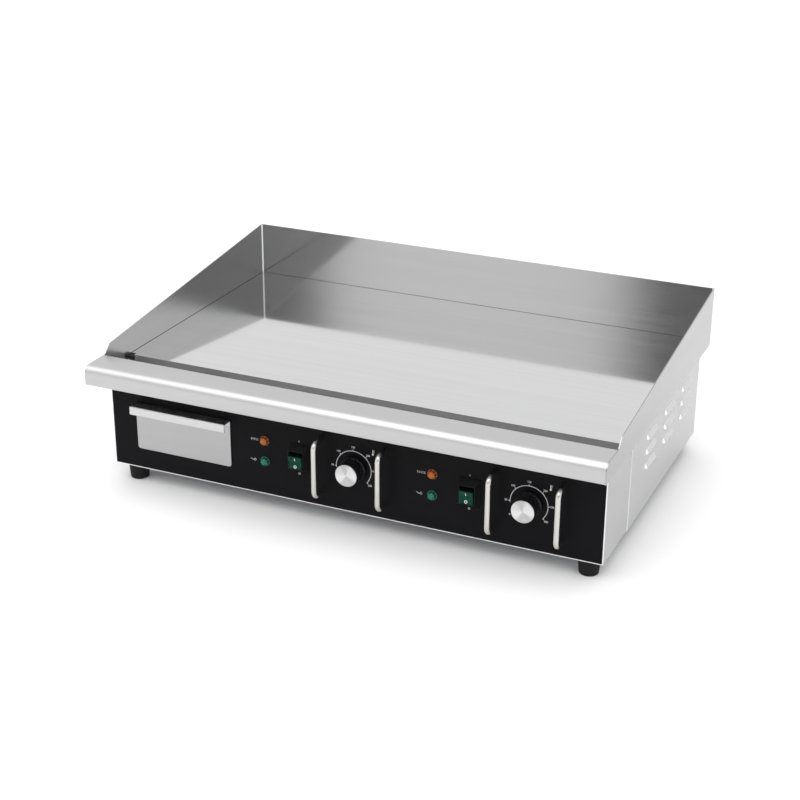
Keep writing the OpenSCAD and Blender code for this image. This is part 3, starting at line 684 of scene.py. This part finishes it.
slit_h = louvre_r - 1.5 * mm
for side, name in sides:
    y_lines = [panel_low.y]
    z_lines = [frame_low.z]
    for i in range(louvre_count):
        start = louvre_first[0] + i * louvre_pitch[0]
        y_lines += [start, start + louvre_l]
        base = louvre_first[1] + i * louvre_pitch[1]
        z_lines += [base, base + slit_h]
    y_lines.append(panel_high.y)
    z_lines.append(panel_high.z)
    holes = {(c, r) for c in (1, 3, 5) for r in (1, 3, 5)}
    points, faces = pierced(y_lines, z_lines, holes)
    sheet = bpy.data.meshes.new("side_panel")
    sheet.from_pydata([(side * skin_x, y, z) for y, z in points], [], faces)
    if side < 0:
        sheet.flip_normals()
    sheet.materials.append(return_steel.material)
    panel = shown("side_panel_" + name + "_skin", sheet)
    modified(panel, "sheet", "SOLIDIFY", thickness=case_t, offset=-1.0)
    modified(panel, "eased_edges", "BEVEL", width=0.3 * mm, segments=2, limit_method="ANGLE")
    placed(panel, "case_steel", stands_for=["side_panel_" + name])
    placed(louvre_hoods(side, "louvres_" + name), "case_steel")
    flange = slab(
        span(side, frame_high.x - 15 * mm, frame_high.x),
        (panel_high.y - 2 * case_t, panel_high.y - case_t), (frame_low.z + case_t, panel_high.z),
    )
    made("side_panel_" + name + "_flange", flange, return_steel, "case_steel")
    # A thin strip on the panel's front edge carries the painted highlight line.
    highlight_strip = slab(
        span(side, frame_high.x, skin_x - 0.05 * mm),
        (panel_low.y - 0.05 * mm, panel_low.y + 0.3 * mm),
        (frame_low.z + 0.4 * mm, panel_high.z - 0.4 * mm),
    )
    made("side_panel_" + name + "_cut_edge", highlight_strip, cut_edge, "case_steel")


# ---- Printing on the panel ----
# White screen print: a ring with tick marks and temperatures round each knob, a thermometer, and
# small symbols for heat, supply, on and off.

ink = mottled("white_ink", (0.80, 0.80, 0.80), (0.62, 0.62, 0.62), 0.6, 300, grit=0.004)
face_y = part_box("control_panel")[0].y
ink_t = 0.06 * mm


def middle(node):
    low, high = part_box(node)
    return (low + high) / 2


control_z = middle("knob_cap_left").z
knob_x, lamp_x, switch_x = (
    [middle(kind + side).x for _, side in sides] for kind in ("knob_cap_", "lamp_heat_", "rocker_")
)
ring_r = 25 * mm
number_r = 30.5 * mm
first_mark = 180.0
mark_step = -44.2
marks = ("50", "100", "150", "200", "250", "300")
off_angle = 218


def inked(outline):
    return extruded(outline, face_y - ink_t, face_y, "y")


def band(centre, radius, start, end, width, steps=40):
    outer = arc(centre, radius + width / 2, start, end, steps)
    inner = arc(centre, radius - width / 2, end, start, steps)
    return inked(outer + inner)


def dash(u, v, length, height):
    return inked(rectangle(u - length / 2, v - height / 2, u + length / 2, v + height / 2))


def figures(text, centre, size):
    """A printed number, centred on a place of the panel."""
    curve = bpy.data.curves.new("figures", "FONT")
    curve.body = text
    curve.size = size
    curve.align_x = "CENTER"
    curve.align_y = "CENTER"
    curve.extrude = ink_t / 2
    mesh = plain_mesh(shown("figures", curve))
    upright = Matrix.Translation((centre[0], face_y - ink_t / 2, centre[1]))
    mesh.transform(upright @ Matrix.Rotation(math.radians(90), 4, "X"))
    points = [tuple(v.co) for v in mesh.vertices]
    faces = [tuple(p.vertices) for p in mesh.polygons]
    bpy.data.meshes.remove(mesh)
    return points, faces


def together(shapes):
    points, faces = [], []
    for more_points, more_faces in shapes:
        first = len(points)
        points += more_points
        faces += [tuple(first + i for i in face) for face in more_faces]
    return points, faces


def round_at(centre, radius, degrees):
    a = math.radians(degrees)
    return centre[0] + radius * math.cos(a), centre[1] + radius * math.sin(a)


def thermometer(u, v):
    bulb = inked(arc((u, v - 3 * mm), 1.3 * mm, 0, 345, 23))
    stem = dash(u, v + 0.6 * mm, 1.1 * mm, 5.6 * mm)
    rungs = [dash(u + 2 * mm, v + i * 1.3 * mm, 1.2 * mm, 0.35 * mm) for i in range(3)]
    return [bulb, stem, *rungs]


def heat_waves(u, v):
    """A row of rising wavy strokes."""
    shapes = []
    for i in range(-2, 3):
        start = u + i * 2.4 * mm
        line = [(start + 0.5 * mm * math.sin(k * 0.9), v + (k - 4) * 0.42 * mm) for k in range(9)]
        right = [(x + 0.22 * mm, z) for x, z in line]
        left = [(x - 0.22 * mm, z) for x, z in reversed(line)]
        shapes.append(inked(right + left))
    return shapes


def supply_sign(u, v):
    ring = band((u, v), 1.5 * mm, 125, 415, 0.4 * mm, 20)
    line = [(u + (k - 22) * 0.3 * mm, v + 0.9 * mm * math.sin(k * 0.42)) for k in range(16)]
    above = [(a, b + 0.25 * mm) for a, b in line]
    below = [(a, b - 0.25 * mm) for a, b in reversed(line)]
    return [ring, dash(u, v + 1.3 * mm, 0.4 * mm, 1.8 * mm), inked(above + below)]


def tick_marks(name, centre_x, length, width, step, count):
    plan = Plan(name, Length=length, Width=width, Radius=ring_r, Start=math.radians(first_mark),
                Step=math.radians(step), Count=count)
    size = plan.vector(plan.size("Length"), ink_t, plan.size("Width"))
    block = plan.node("GeometryNodeMeshCube", Size=size)
    tick = plan.moved(block, plan.vector(plan.size("Radius") + plan.size("Length") * 0.5))
    spots = plan.node("GeometryNodePoints", Count=plan.size("Count"))
    index = plan.node("GeometryNodeInputIndex")
    turn = plan.vector(y=0 - (plan.size("Start") + index * plan.size("Step")))
    dial = plan.vector(centre_x, face_y - ink_t / 2, control_z)
    ring = plan.moved(plan.copies(spots, tick, Rotation=turn), dial)
    placed(plan.build(ring, name, ink), "black_panel")


lamp_rise = 15 * mm
for x, lamp, switch, (_, name) in zip(knob_x, lamp_x, switch_x, sides):
    dial = (x, control_z)
    print_shapes = [band(dial, ring_r, 185, first_mark + 5 * mark_step, 0.62 * mm, 90)]
    for i, text in enumerate(marks):
        spot = round_at(dial, number_r, first_mark + i * mark_step)
        print_shapes.append(figures(text, spot, 3.7 * mm))
    print_shapes.append(figures("0", round_at(dial, number_r + 1 * mm, off_angle), 3.9 * mm))
    print_shapes += thermometer(x + 27.5 * mm, control_z + 28.6 * mm)
    print_shapes += heat_waves(lamp - 15.5 * mm, control_z + lamp_rise - 0.4 * mm)
    print_shapes += supply_sign(lamp - 15.5 * mm, control_z - lamp_rise - 0.4 * mm)
    print_shapes.append(dash(switch, control_z + 23.4 * mm, 0.5 * mm, 2.6 * mm))
    print_shapes.append(band((switch, control_z - 23.2 * mm), 1.3 * mm, 0, 350, 0.45 * mm, 24))
    made("panel_print_" + name, together(print_shapes), ink, "black_panel")
    tick_marks("long_ticks_" + name, x, 2.0 * mm, 0.9 * mm, mark_step, len(marks))
    tick_marks("short_ticks_" + name, x, 1.0 * mm, 0.4 * mm, mark_step / 6, 31)


# ---- Grease drawer ----
# The face is a brushed sheet; a bent handle with flange and lip is welded over it, and both are
# spot welded to a tinned tray. The handle is coloured lighter than the face, a painted highlight.
# The tray slides on two angle rails.

# The handle's lighter tone against the darker face is a painted highlight on the lip.
drawer_steel = brushed_steel("drawer_steel", along_x, tone=0.42, rough=0.34)
handle_steel = brushed_steel("handle_steel", along_x, tone=0.60, rough=0.36)
face_low, face_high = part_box("drawer_front")
face_t = 1.5 * mm
lip_h = 12 * mm
lap_h = 9 * mm
bend = 2.4 * mm
corner_r = 4 * mm
heel_r = 1 * mm
front, back, top = face_low.y, face_high.y, face_high.z
bend_centre = (front + bend, top - bend)
handle_profile = [
    (back, top - lap_h), *arc((back - heel_r, top - heel_r), heel_r, 0, 90, 4),
    *arc(bend_centre, bend, 90, 180, 8),
    *arc((front + face_t / 2, top - lip_h + face_t / 2), face_t / 2, 180, 360, 8),
    *arc(bend_centre, bend - face_t, 180, 90, 5),
    *arc((back - face_t - heel_r, top - face_t - heel_r), heel_r, 90, 0, 4),
    (back - face_t, top - lap_h),
]
face_outline = [
    (face_high.x, top - 8 * mm), (face_low.x, top - 8 * mm),
    *arc((face_low.x + corner_r, face_low.z + corner_r), corner_r, 180, 270, 8),
    *arc((face_high.x - corner_r, face_low.z + corner_r), corner_r, 270, 360, 8),
]
made("drawer_handle", extruded(handle_profile, face_low.x, face_high.x, "x"), handle_steel,
     "drawer_steel", body="drawer", stands_for=["drawer_front"], edge=0.3 * mm)
made("drawer_face", extruded(face_outline, back - face_t, back, "y"), drawer_steel,
     "drawer_steel", body="drawer", edge=0.3 * mm)
dress(tinned_pan, "drawer_box")
dress(zinc_plate, "drawer_rail_left", "drawer_rail_right", "drawer_stop_bracket")


# ---- Knob guards ----
# 7.5 mm stainless rod, bent to a bow and polished, with a stud at each end that is nutted behind
# the frame.

rod_steel = Finish("polished_rod", Metallic=1.0)
rod_scuff = rod_steel.noise(700, 3, (1, 1, 0.06))
rod_cloud = rod_steel.noise(35, 2)
rod_steel.set(
    Base_Color=rod_steel.blend(rod_cloud, (0.55, 0.54, 0.51, 1), (0.65, 0.635, 0.61, 1)),
    Roughness=0.23 + (rod_scuff - 0.5) * 0.08,
    Normal=rod_steel.relief(rod_scuff, 0.004 * mm, 0.4),
)


def guard_bows(name):
    first, second, third = (middle(f"guard_bar_{i}").x for i in (1, 2, 3))
    low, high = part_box("guard_bar_1")
    radius = (high.x - low.x) / 2
    plan = Plan(
        name, Rod=radius, Bend=10 * mm, Reach=low.y + radius, Foot=frame_low.y, Low=low.z + radius,
        High=high.z - radius, Pair=second - first, Pitch=third - first,
    )
    line = plan.node("GeometryNodeCurvePrimitiveLine")
    path = plan.node("GeometryNodeResampleCurve", Curve=line, Count=4)
    index = plan.node("GeometryNodeInputIndex")
    upper = index.maths("GREATER_THAN", 1.5)
    out = (index - 1.5).maths("ABSOLUTE").maths("LESS_THAN", 1.0)
    reach, foot, bottom, top = (plan.size(n) for n in ("Reach", "Foot", "Low", "High"))
    spot = plan.vector(first, foot + out * (reach - foot), bottom + upper * (top - bottom))
    bent = plan.node("GeometryNodeSetPosition", Geometry=path, Position=spot)
    bow = plan.node("GeometryNodeFilletCurve", {"mode": "POLY"}, Curve=bent, Count=10,
                    Radius=plan.size("Bend"), Limit_Radius=True)
    ring = plan.node("GeometryNodeCurvePrimitiveCircle", Radius=plan.size("Rod"), Resolution=28)
    rod = plan.node("GeometryNodeCurveToMesh", Curve=bow, Profile_Curve=ring, Fill_Caps=True)
    pair = plan.copies(plan.row(2, plan.vector(plan.size("Pair"))), rod)
    groups = plan.copies(plan.row(2, plan.vector(plan.size("Pitch"))), pair)
    return smoothed(plan.build(groups, name, rod_steel))


guard_rods = guard_bows("guard_rods")
placed(guard_rods, "polished_rod", stands_for=[f"guard_bar_{i}" for i in (1, 2, 3, 4)])
dress(fastener, "guard_bar_nuts")


# ---- Pilot lamps ----
# A tinted lens with a domed front and a thin flange, snapped into a black lamp body. Prisms
# moulded inside break up its colour.


def in_mm(*pairs):
    return [(a * mm, b * mm) for a, b in pairs]


def turning(profile, steps, centre, swell=None):
    """A body of revolution about an axis that runs out of the panel: radius and distance pairs."""
    points, rings = [], []
    for radius, distance in profile:
        count = steps if radius > 0 else 1
        rings.append(range(len(points), len(points) + count))
        for i in range(count):
            a = 2 * math.pi * i / steps
            r = radius + (swell(a, distance) if swell and radius > 0 else 0.0)
            u, v = centre[0] + r * math.cos(a), centre[1] + r * math.sin(a)
            points.append((u, face_y - distance, v))
    faces = []
    for one, two in zip(rings, rings[1:]):
        for i in range(steps):
            j = (i + 1) % steps
            corners = [one[i % len(one)], one[j % len(one)], two[j % len(two)], two[i % len(two)]]
            faces.append(tuple(dict.fromkeys(corners)))
    return points, faces


def tinted_lens(name, bright, deep, centre):
    """Clear coloured plastic: star prisms inside, deeper colour towards the rim."""
    lens = Finish(name, Coat_Weight=0.35, Coat_Roughness=0.04, Specular_IOR_Level=0.25,
                  Emission_Strength=0.10)
    far, sector = lens.round_axis(centre)
    far = far / (6 * mm)
    star = (sector * 8).maths("SINE") * 0.5 + 0.5
    rings = (far * 16).maths("SINE") * 0.5 + 0.5
    prism = star * 0.6 + rings * 0.4
    lens.set(
        Base_Color=lens.blend(prism * 0.55 + far * far * 0.6, bright, deep),
        Roughness=0.16 + prism * 0.12,
        Normal=lens.relief(prism, 0.9 * mm, 0.8),
        Emission_Color=lens.blend(prism, bright, deep),
    )
    return lens


lens_profile = in_mm(
    (0, -2.0), (5, -2.0), (5, 0), (6.6, 0), (7, 0.4), (7, 0.9), (6.6, 1.25), (6.1, 1.35)
)
lens_profile += [(r, 1.6 * mm + d) for r, d in arc((0, 0), 6 * mm, 4, 84, 10)] + [(0, 7.6 * mm)]
orange = ((0.62, 0.17, 0.012, 1), (0.07, 0.014, 0.003, 1))
green = ((0.004, 0.21, 0.13, 1), (0.001, 0.028, 0.020, 1))
lamps = (("heat", lamp_rise, orange, "orange_lens"), ("power", -lamp_rise, green, "green_lens"))
for x, (_, side) in zip(lamp_x, sides):
    for kind, rise, tint, slot in lamps:
        centre = (x, control_z + rise)
        lens = tinted_lens(f"{kind}_lens_{side}", *tint, centre)
        made(f"lamp_{kind}_{side}_lens", turning(lens_profile, 40, centre), lens, slot,
             stands_for=[f"lamp_{kind}_{side}"], crease=40)
black_moulding = mottled("black_moulding", (0.006, 0.006, 0.0065), (0.003, 0.003, 0.0035), 0.45,
                         120, grit=0.01, Specular_IOR_Level=0.14)
dress(black_moulding, "lamp_bodies")


# ---- Rocker switches ----
# A black moulded housing snaps into the panel, its raised shroud round a tinted green rocker.
# The rocker is moulded hollow-faced, marked in white, and turns on two pins.


def lofted(rings):
    """A closed body through rings of equally many points, capped at both ends."""
    n = len(rings[0])
    points = [p for ring in rings for p in ring]
    faces = [tuple(range(n)), tuple(range(len(points) - n, len(points)))]
    for first in range(0, len(points) - n, n):
        for i in range(n):
            one, two = first + i, first + (i + 1) % n
            faces.append((one, two, two + n, one + n))
    return points, faces


def frame_ring(x, distance, width, height, corner):
    """A rectangle with rounded corners, parallel to the panel; its sizes are in millimetres."""
    points = []
    for sx, sz, start in ((1, 1, 0), (-1, 1, 90), (-1, -1, 180), (1, -1, 270)):
        centre = (x + sx * (width / 2 - corner) * mm, control_z + sz * (height / 2 - corner) * mm)
        points += arc(centre, corner * mm, start, start + 90, 4)
    return [(u, face_y - distance * mm, v) for u, v in points]


def switch_shell(x):
    neck = ((-8.2, 24, 32, 0.5), (0, 24, 32, 0.5))
    bezel = ((0, 29, 38, 1.5), (1.3, 29, 38, 1.5), (1.8, 28, 37, 1.2))
    shroud = ((10.4, 23.3, 27.0, 1.2), (11, 22.4, 26.0, 1.2))
    bore = ((11, 20.6, 24.4, 0.8), (10.5, 19.8, 23.6, 0.6), (-8, 19.8, 23.6, 0.6))

    def block(half_w, half_h, rise, near, far):
        ys = (face_y + near * mm, face_y + far * mm)
        zs = (control_z + (rise - half_h) * mm, control_z + (rise + half_h) * mm)
        return slab((x - half_w * mm, x + half_w * mm), ys, zs)

    front = lofted([frame_ring(x, *sizes) for sizes in (*neck, *bezel, *shroud, *bore)])
    rear = block(12, 16, 0, 8.2, 24)
    return together([front, rear, *(block(3.2, 0.4, rise, 24, 33) for rise in (-9, 0, 9))])


rocker_tilt = 8
pivot_d = 2 * mm
rocker_half = 9.6 * mm
rocker_w = 18.8 * mm
face_out = 12.1 * mm
hollow_d = 1.3 * mm


def on_rocker(points):
    """Tips points from the rocker's own upright place to its rest, lower half pressed in."""
    pivot = Matrix.Translation((0, face_y - pivot_d, control_z))
    tip = pivot @ Matrix.Rotation(math.radians(rocker_tilt), 4, "X") @ pivot.inverted()
    return [tuple(tip @ Vector(p)) for p in points]


def hollow_face(v):
    share = (v - control_z) / rocker_half
    return face_y - pivot_d - face_out + hollow_d * (1 - share ** 2)


def rocker_shape(x):
    heights = [control_z + k / 8 * rocker_half for k in range(8, -9, -1)]
    rear_y, foot_y = face_y - pivot_d + 6 * mm, face_y - pivot_d - 6 * mm
    outline = [(hollow_face(v), v) for v in heights]
    outline += [(foot_y, control_z - rocker_half), (rear_y, control_z - 5 * mm),
                (rear_y, control_z + 5 * mm), (foot_y, control_z + rocker_half)]
    points, faces = extruded(outline, x - rocker_w / 2, x + rocker_w / 2, "x")
    return on_rocker(points), faces


def rocker_mark(outline):
    """A white mark that lies on the rocker's hollow face."""
    n = len(outline)
    points = [(u, hollow_face(v) + lift, v) for lift in (-ink_t, ink_t) for u, v in outline]
    faces = [(i, (i + 1) % n, n + (i + 1) % n, n + i) for i in range(n)]
    for i in range(n // 2 - 1):
        faces.append((i, i + 1, n - 2 - i, n - 1 - i))
        faces.append((n + i, n + i + 1, 2 * n - 2 - i, 2 * n - 1 - i))
    return on_rocker(points), faces


def ring_outline(centre, radius, width, steps):
    outer = arc(centre, radius + width / 2, 90, 448, steps)
    return outer + arc(centre, radius - width / 2, 448, 90, steps)


green_rocker = Finish("green_rocker", Specular_IOR_Level=0.1)
swirl = green_rocker.noise(420, 3).ramp(0.36, 0.62)
shaded_end = green_rocker.along(2).ramp(control_z + 5.4 * mm, control_z + 7.4 * mm)
rocker_grit = green_rocker.noise(2600, 1)
tint = green_rocker.blend(swirl, (0.003, 0.065, 0.038, 1), (0.001, 0.024, 0.015, 1))
green_rocker.set(
    Base_Color=green_rocker.blend(shaded_end, tint, (0.001, 0.006, 0.004, 1)),
    Roughness=0.30 + (swirl - 0.5) * 0.12,
    Normal=green_rocker.relief(rocker_grit, 0.008 * mm, 0.4),
)
rocker_white = mottled("rocker_white", (0.86, 0.86, 0.84), (0.70, 0.70, 0.68), 0.5, 200, grit=0.004)
for x, (_, side) in zip(switch_x, sides):
    made("switch_shell_" + side, switch_shell(x), black_moulding, "black_plastic",
         stands_for=["switch_housing_" + side], edge=0.25 * mm, crease=35)
    made("rocker_body_" + side, rocker_shape(x), green_rocker, "green_rocker",
         body="switch_" + side, stands_for=["rocker_" + side], edge=0.5 * mm, steps=3, crease=20)
    upper, lower = control_z + 4.2 * mm, control_z - 6.6 * mm
    bar = [(x + 0.4 * mm, upper - 2 * mm + k * mm) for k in range(5)]
    bar += [(x - 0.4 * mm, upper + 2 * mm - k * mm) for k in range(5)]
    zero = ring_outline((x, lower), 1.7 * mm, 0.8 * mm, 28)
    signs = together([rocker_mark(bar), rocker_mark(zero)])
    made("rocker_marks_" + side, signs, rocker_white, "green_rocker", body="switch_" + side)


# ---- Thermostat knobs ----
# A fluted black phenolic knob on a steel spindle, with a pointer rib and a white inlay, and a
# dished cap of spun aluminium glued to its front.

flutes = 24
knob_profile = in_mm(
    (0, 1.4), (14.5, 1.4), (15.5, 1.0), (17.6, 1.0), (18.3, 1.6), (18.3, 3.4), (17.9, 4.2),
    (17.0, 5.2), (16.6, 6.2), (16.4, 7.4), (16.2, 12), (16.0, 17), (15.8, 21.2), (15.5, 22.1),
    (14.9, 22.5), (0, 22.5),
)
cap_profile = in_mm(
    (0, 22.5), (15.1, 22.5), (15.3, 22.7), (15.3, 23.5), (15.1, 23.85), (14.75, 24.0),
    (14.3, 23.95), (13.9, 23.7), (13.2, 23.62), (9, 23.55), (4, 23.52), (0, 23.5),
)


def fluting(angle, distance):
    """Scallops cut along the knob's grip, fading out at its skirt and front."""
    if distance < 5.5 * mm or distance > 21.8 * mm:
        return 0.0
    hollow = math.cos(flutes * (angle - math.radians(off_angle)))
    return -0.85 * mm * max(0.0, -hollow) ** 1.3


def spun_aluminium(name, centre):
    """Bright metal with fine turned rings about the knob's axis and a painted bow-tie highlight."""
    metal = Finish(name, Metallic=1.0)
    radius, around = metal.round_axis(centre)
    reach = metal.node("ShaderNodeCombineXYZ", X=radius)
    turned, broad = (
        metal.node("ShaderNodeTexNoise", Vector=reach, Scale=scale, Detail=detail)
        for scale, detail in ((3800, 3), (500, 1))
    )
    # Lobes round the axis paint the fan-shaped highlight of turned metal into the colour.
    highlight_lobes = (around * 2 + 0.9).maths("SINE") * 0.5 + (around * 5 + 2.0).maths("SINE") * 0.2
    painted_bowtie_highlight = highlight_lobes.ramp(-0.6, 0.6) * 0.8 + broad * 0.2
    metal.set(
        Base_Color=metal.blend(painted_bowtie_highlight, grey(0.43, 0.005), grey(0.72)),
        Roughness=0.30 + (broad - 0.5) * 0.1,
        Normal=metal.relief(turned, 0.01 * mm, 0.7),
    )
    return metal


phenolic = mottled("black_phenolic", (0.007, 0.007, 0.008), (0.004, 0.004, 0.005), 0.34, 150,
                   grit=0.006, Specular_IOR_Level=0.3)
spindle = mottled("spindle_steel", (0.62, 0.62, 0.61), (0.52, 0.52, 0.51), 0.25, 80, metal=1.0)
tin = mottled("thermostat_tin", (0.58, 0.58, 0.59), (0.47, 0.47, 0.49), 0.36, 40, metal=1.0)
copper = mottled("copper_tube", (0.66, 0.36, 0.22), (0.45, 0.22, 0.13), 0.34, 120, metal=1.0)
for x, (_, side) in zip(knob_x, sides):
    centre = (x, control_z)
    body = "knob_" + side + "_turn"
    rib_out, rib_in = (round_at(centre, r, off_angle) for r in (18.25 * mm, 14 * mm))
    across = round_at((0, 0), 0.8 * mm, off_angle + 90)
    rib_outline = [
        (end[0] + across[0] * share, end[1] + across[1] * share)
        for end, share in ((rib_out, 0.4), (rib_in, 1), (rib_in, -1), (rib_out, -0.4))
    ]
    rib = extruded(rib_outline, face_y - 20 * mm, face_y - 3 * mm, "y")
    grip = turning(knob_profile, flutes * 8, centre, fluting)
    made("knob_grip_" + side, grip, phenolic, "knob_phenolic", body=body,
         stands_for=["knob_" + side], crease=50)
    made("knob_pointer_" + side, rib, phenolic, "knob_phenolic", body=body, edge=0.3 * mm)
    halved = [((u + rib_out[0]) / 2, (v + rib_out[1]) / 2) for u, v in rib_outline]
    inlay = extruded(halved, face_y - 20 * mm - ink_t, face_y - 20 * mm, "y")
    made("knob_inlay_" + side, inlay, rocker_white, "knob_phenolic", body=body)
    aluminium = spun_aluminium("spun_cap_" + side, centre)
    made("knob_face_" + side, turning(cap_profile, 96, centre), aluminium, "spun_cap",
         body=body, stands_for=["knob_cap_" + side], crease=50)
    dress(spindle, "knob_spindle_" + side)
    dress(tin, "thermostat_" + side)
    dress(copper, "capillary_" + side)


# ---- Supply ----
# Leads run in glass sleeves from a ceramic block to the switches. A nylon gland takes the supply
# lead through the rear panel, beside a brass bonding stud.

dress(mottled("glazed_block", (0.80, 0.78, 0.70), (0.70, 0.67, 0.58), 0.3, 50), "terminal_block")
dress(mottled("glass_sleeve", (0.050, 0.050, 0.052), (0.020, 0.020, 0.021), 0.8, 400, grit=0.1),
      "wiring_loom")
dress(mottled("black_nylon", (0.045, 0.045, 0.047), (0.028, 0.028, 0.030), 0.45, 130, grit=0.01),
      "cable_gland", "gland_nut")
dress(mottled("brass", (0.70, 0.52, 0.24), (0.52, 0.37, 0.16), 0.28, 110, metal=1.0),
      "equipotential_stud")


# ---- Feet and fasteners ----
# Four tapered rubber feet are bolted through the base pan. Seven pan head screws with a cross
# recess hold the rear panel.

foot_rubber = mottled("foot_rubber", (0.008, 0.008, 0.008), (0.004, 0.004, 0.004), 0.68, 90,
                      grit=0.03, Specular_IOR_Level=0.25)
for _, side in sides:
    dress(foot_rubber, "foot_front_" + side, "foot_rear_" + side)
dress(fastener, "foot_bolts")


def screw_heads(name):
    """One head as a height field with a cross recess, set out at the panel's sides and foot."""
    low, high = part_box("case_screws")
    panel_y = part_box("back_panel")[1].y
    head_r = 3.8 * mm
    plan = Plan(
        name, Head=head_r, Rise=high.y - panel_y, Recess=1.1 * mm, Arm=2.1 * mm, Slot=0.45 * mm,
        Wide=high.x - low.x - 2 * head_r, Tall=80 * mm, Pitch=200 * mm,
    )
    head = plan.size("Head")
    sheet = plan.grid(head * 2.04, head * 2.04, 45, 45)
    u, v, _ = plan.axes(plan.node("GeometryNodeInputPosition"))
    radius = (u * u + v * v).maths("SQRT") / head
    dome = (1.0 - radius.maths("MINIMUM", 1.0) ** 5) * plan.size("Rise")
    across, along = u.maths("ABSOLUTE"), v.maths("ABSOLUTE")
    slot, arm = plan.size("Slot"), plan.size("Arm")
    one = across.maths("LESS_THAN", slot) * along.maths("LESS_THAN", arm)
    other = along.maths("LESS_THAN", slot) * across.maths("LESS_THAN", arm)
    hollow = one.maths("MAXIMUM", other) * plan.size("Recess")
    outside = radius.maths("GREATER_THAN", 1.03)
    screw = plan.relieved(sheet, outside, plan.vector(u, dome - hollow, v))
    column = plan.copies(plan.row(2, plan.vector(z=plan.size("Tall"))), screw)
    upright = plan.copies(plan.row(2, plan.vector(plan.size("Wide"))), column)
    level = plan.copies(plan.row(3, plan.vector(plan.size("Pitch"))), screw)
    upright = plan.moved(upright, plan.vector(plan.size("Wide") * -0.5, panel_y, 50 * mm))
    level = plan.moved(level, plan.vector(plan.size("Pitch") * -1.0, panel_y, low.z + head_r))
    joined = plan.tree.nodes.new("GeometryNodeJoinGeometry")
    for part in (upright, level):
        plan.feed(joined.inputs[0], part)
    return smoothed(plan.build(Wire(plan, joined.outputs[0]), name, fastener), 40)


screws = facing(screw_heads("case_screw_heads"), Vector((0, 1, 0)))
placed(screws, "fasteners", stands_for=["case_screws"])
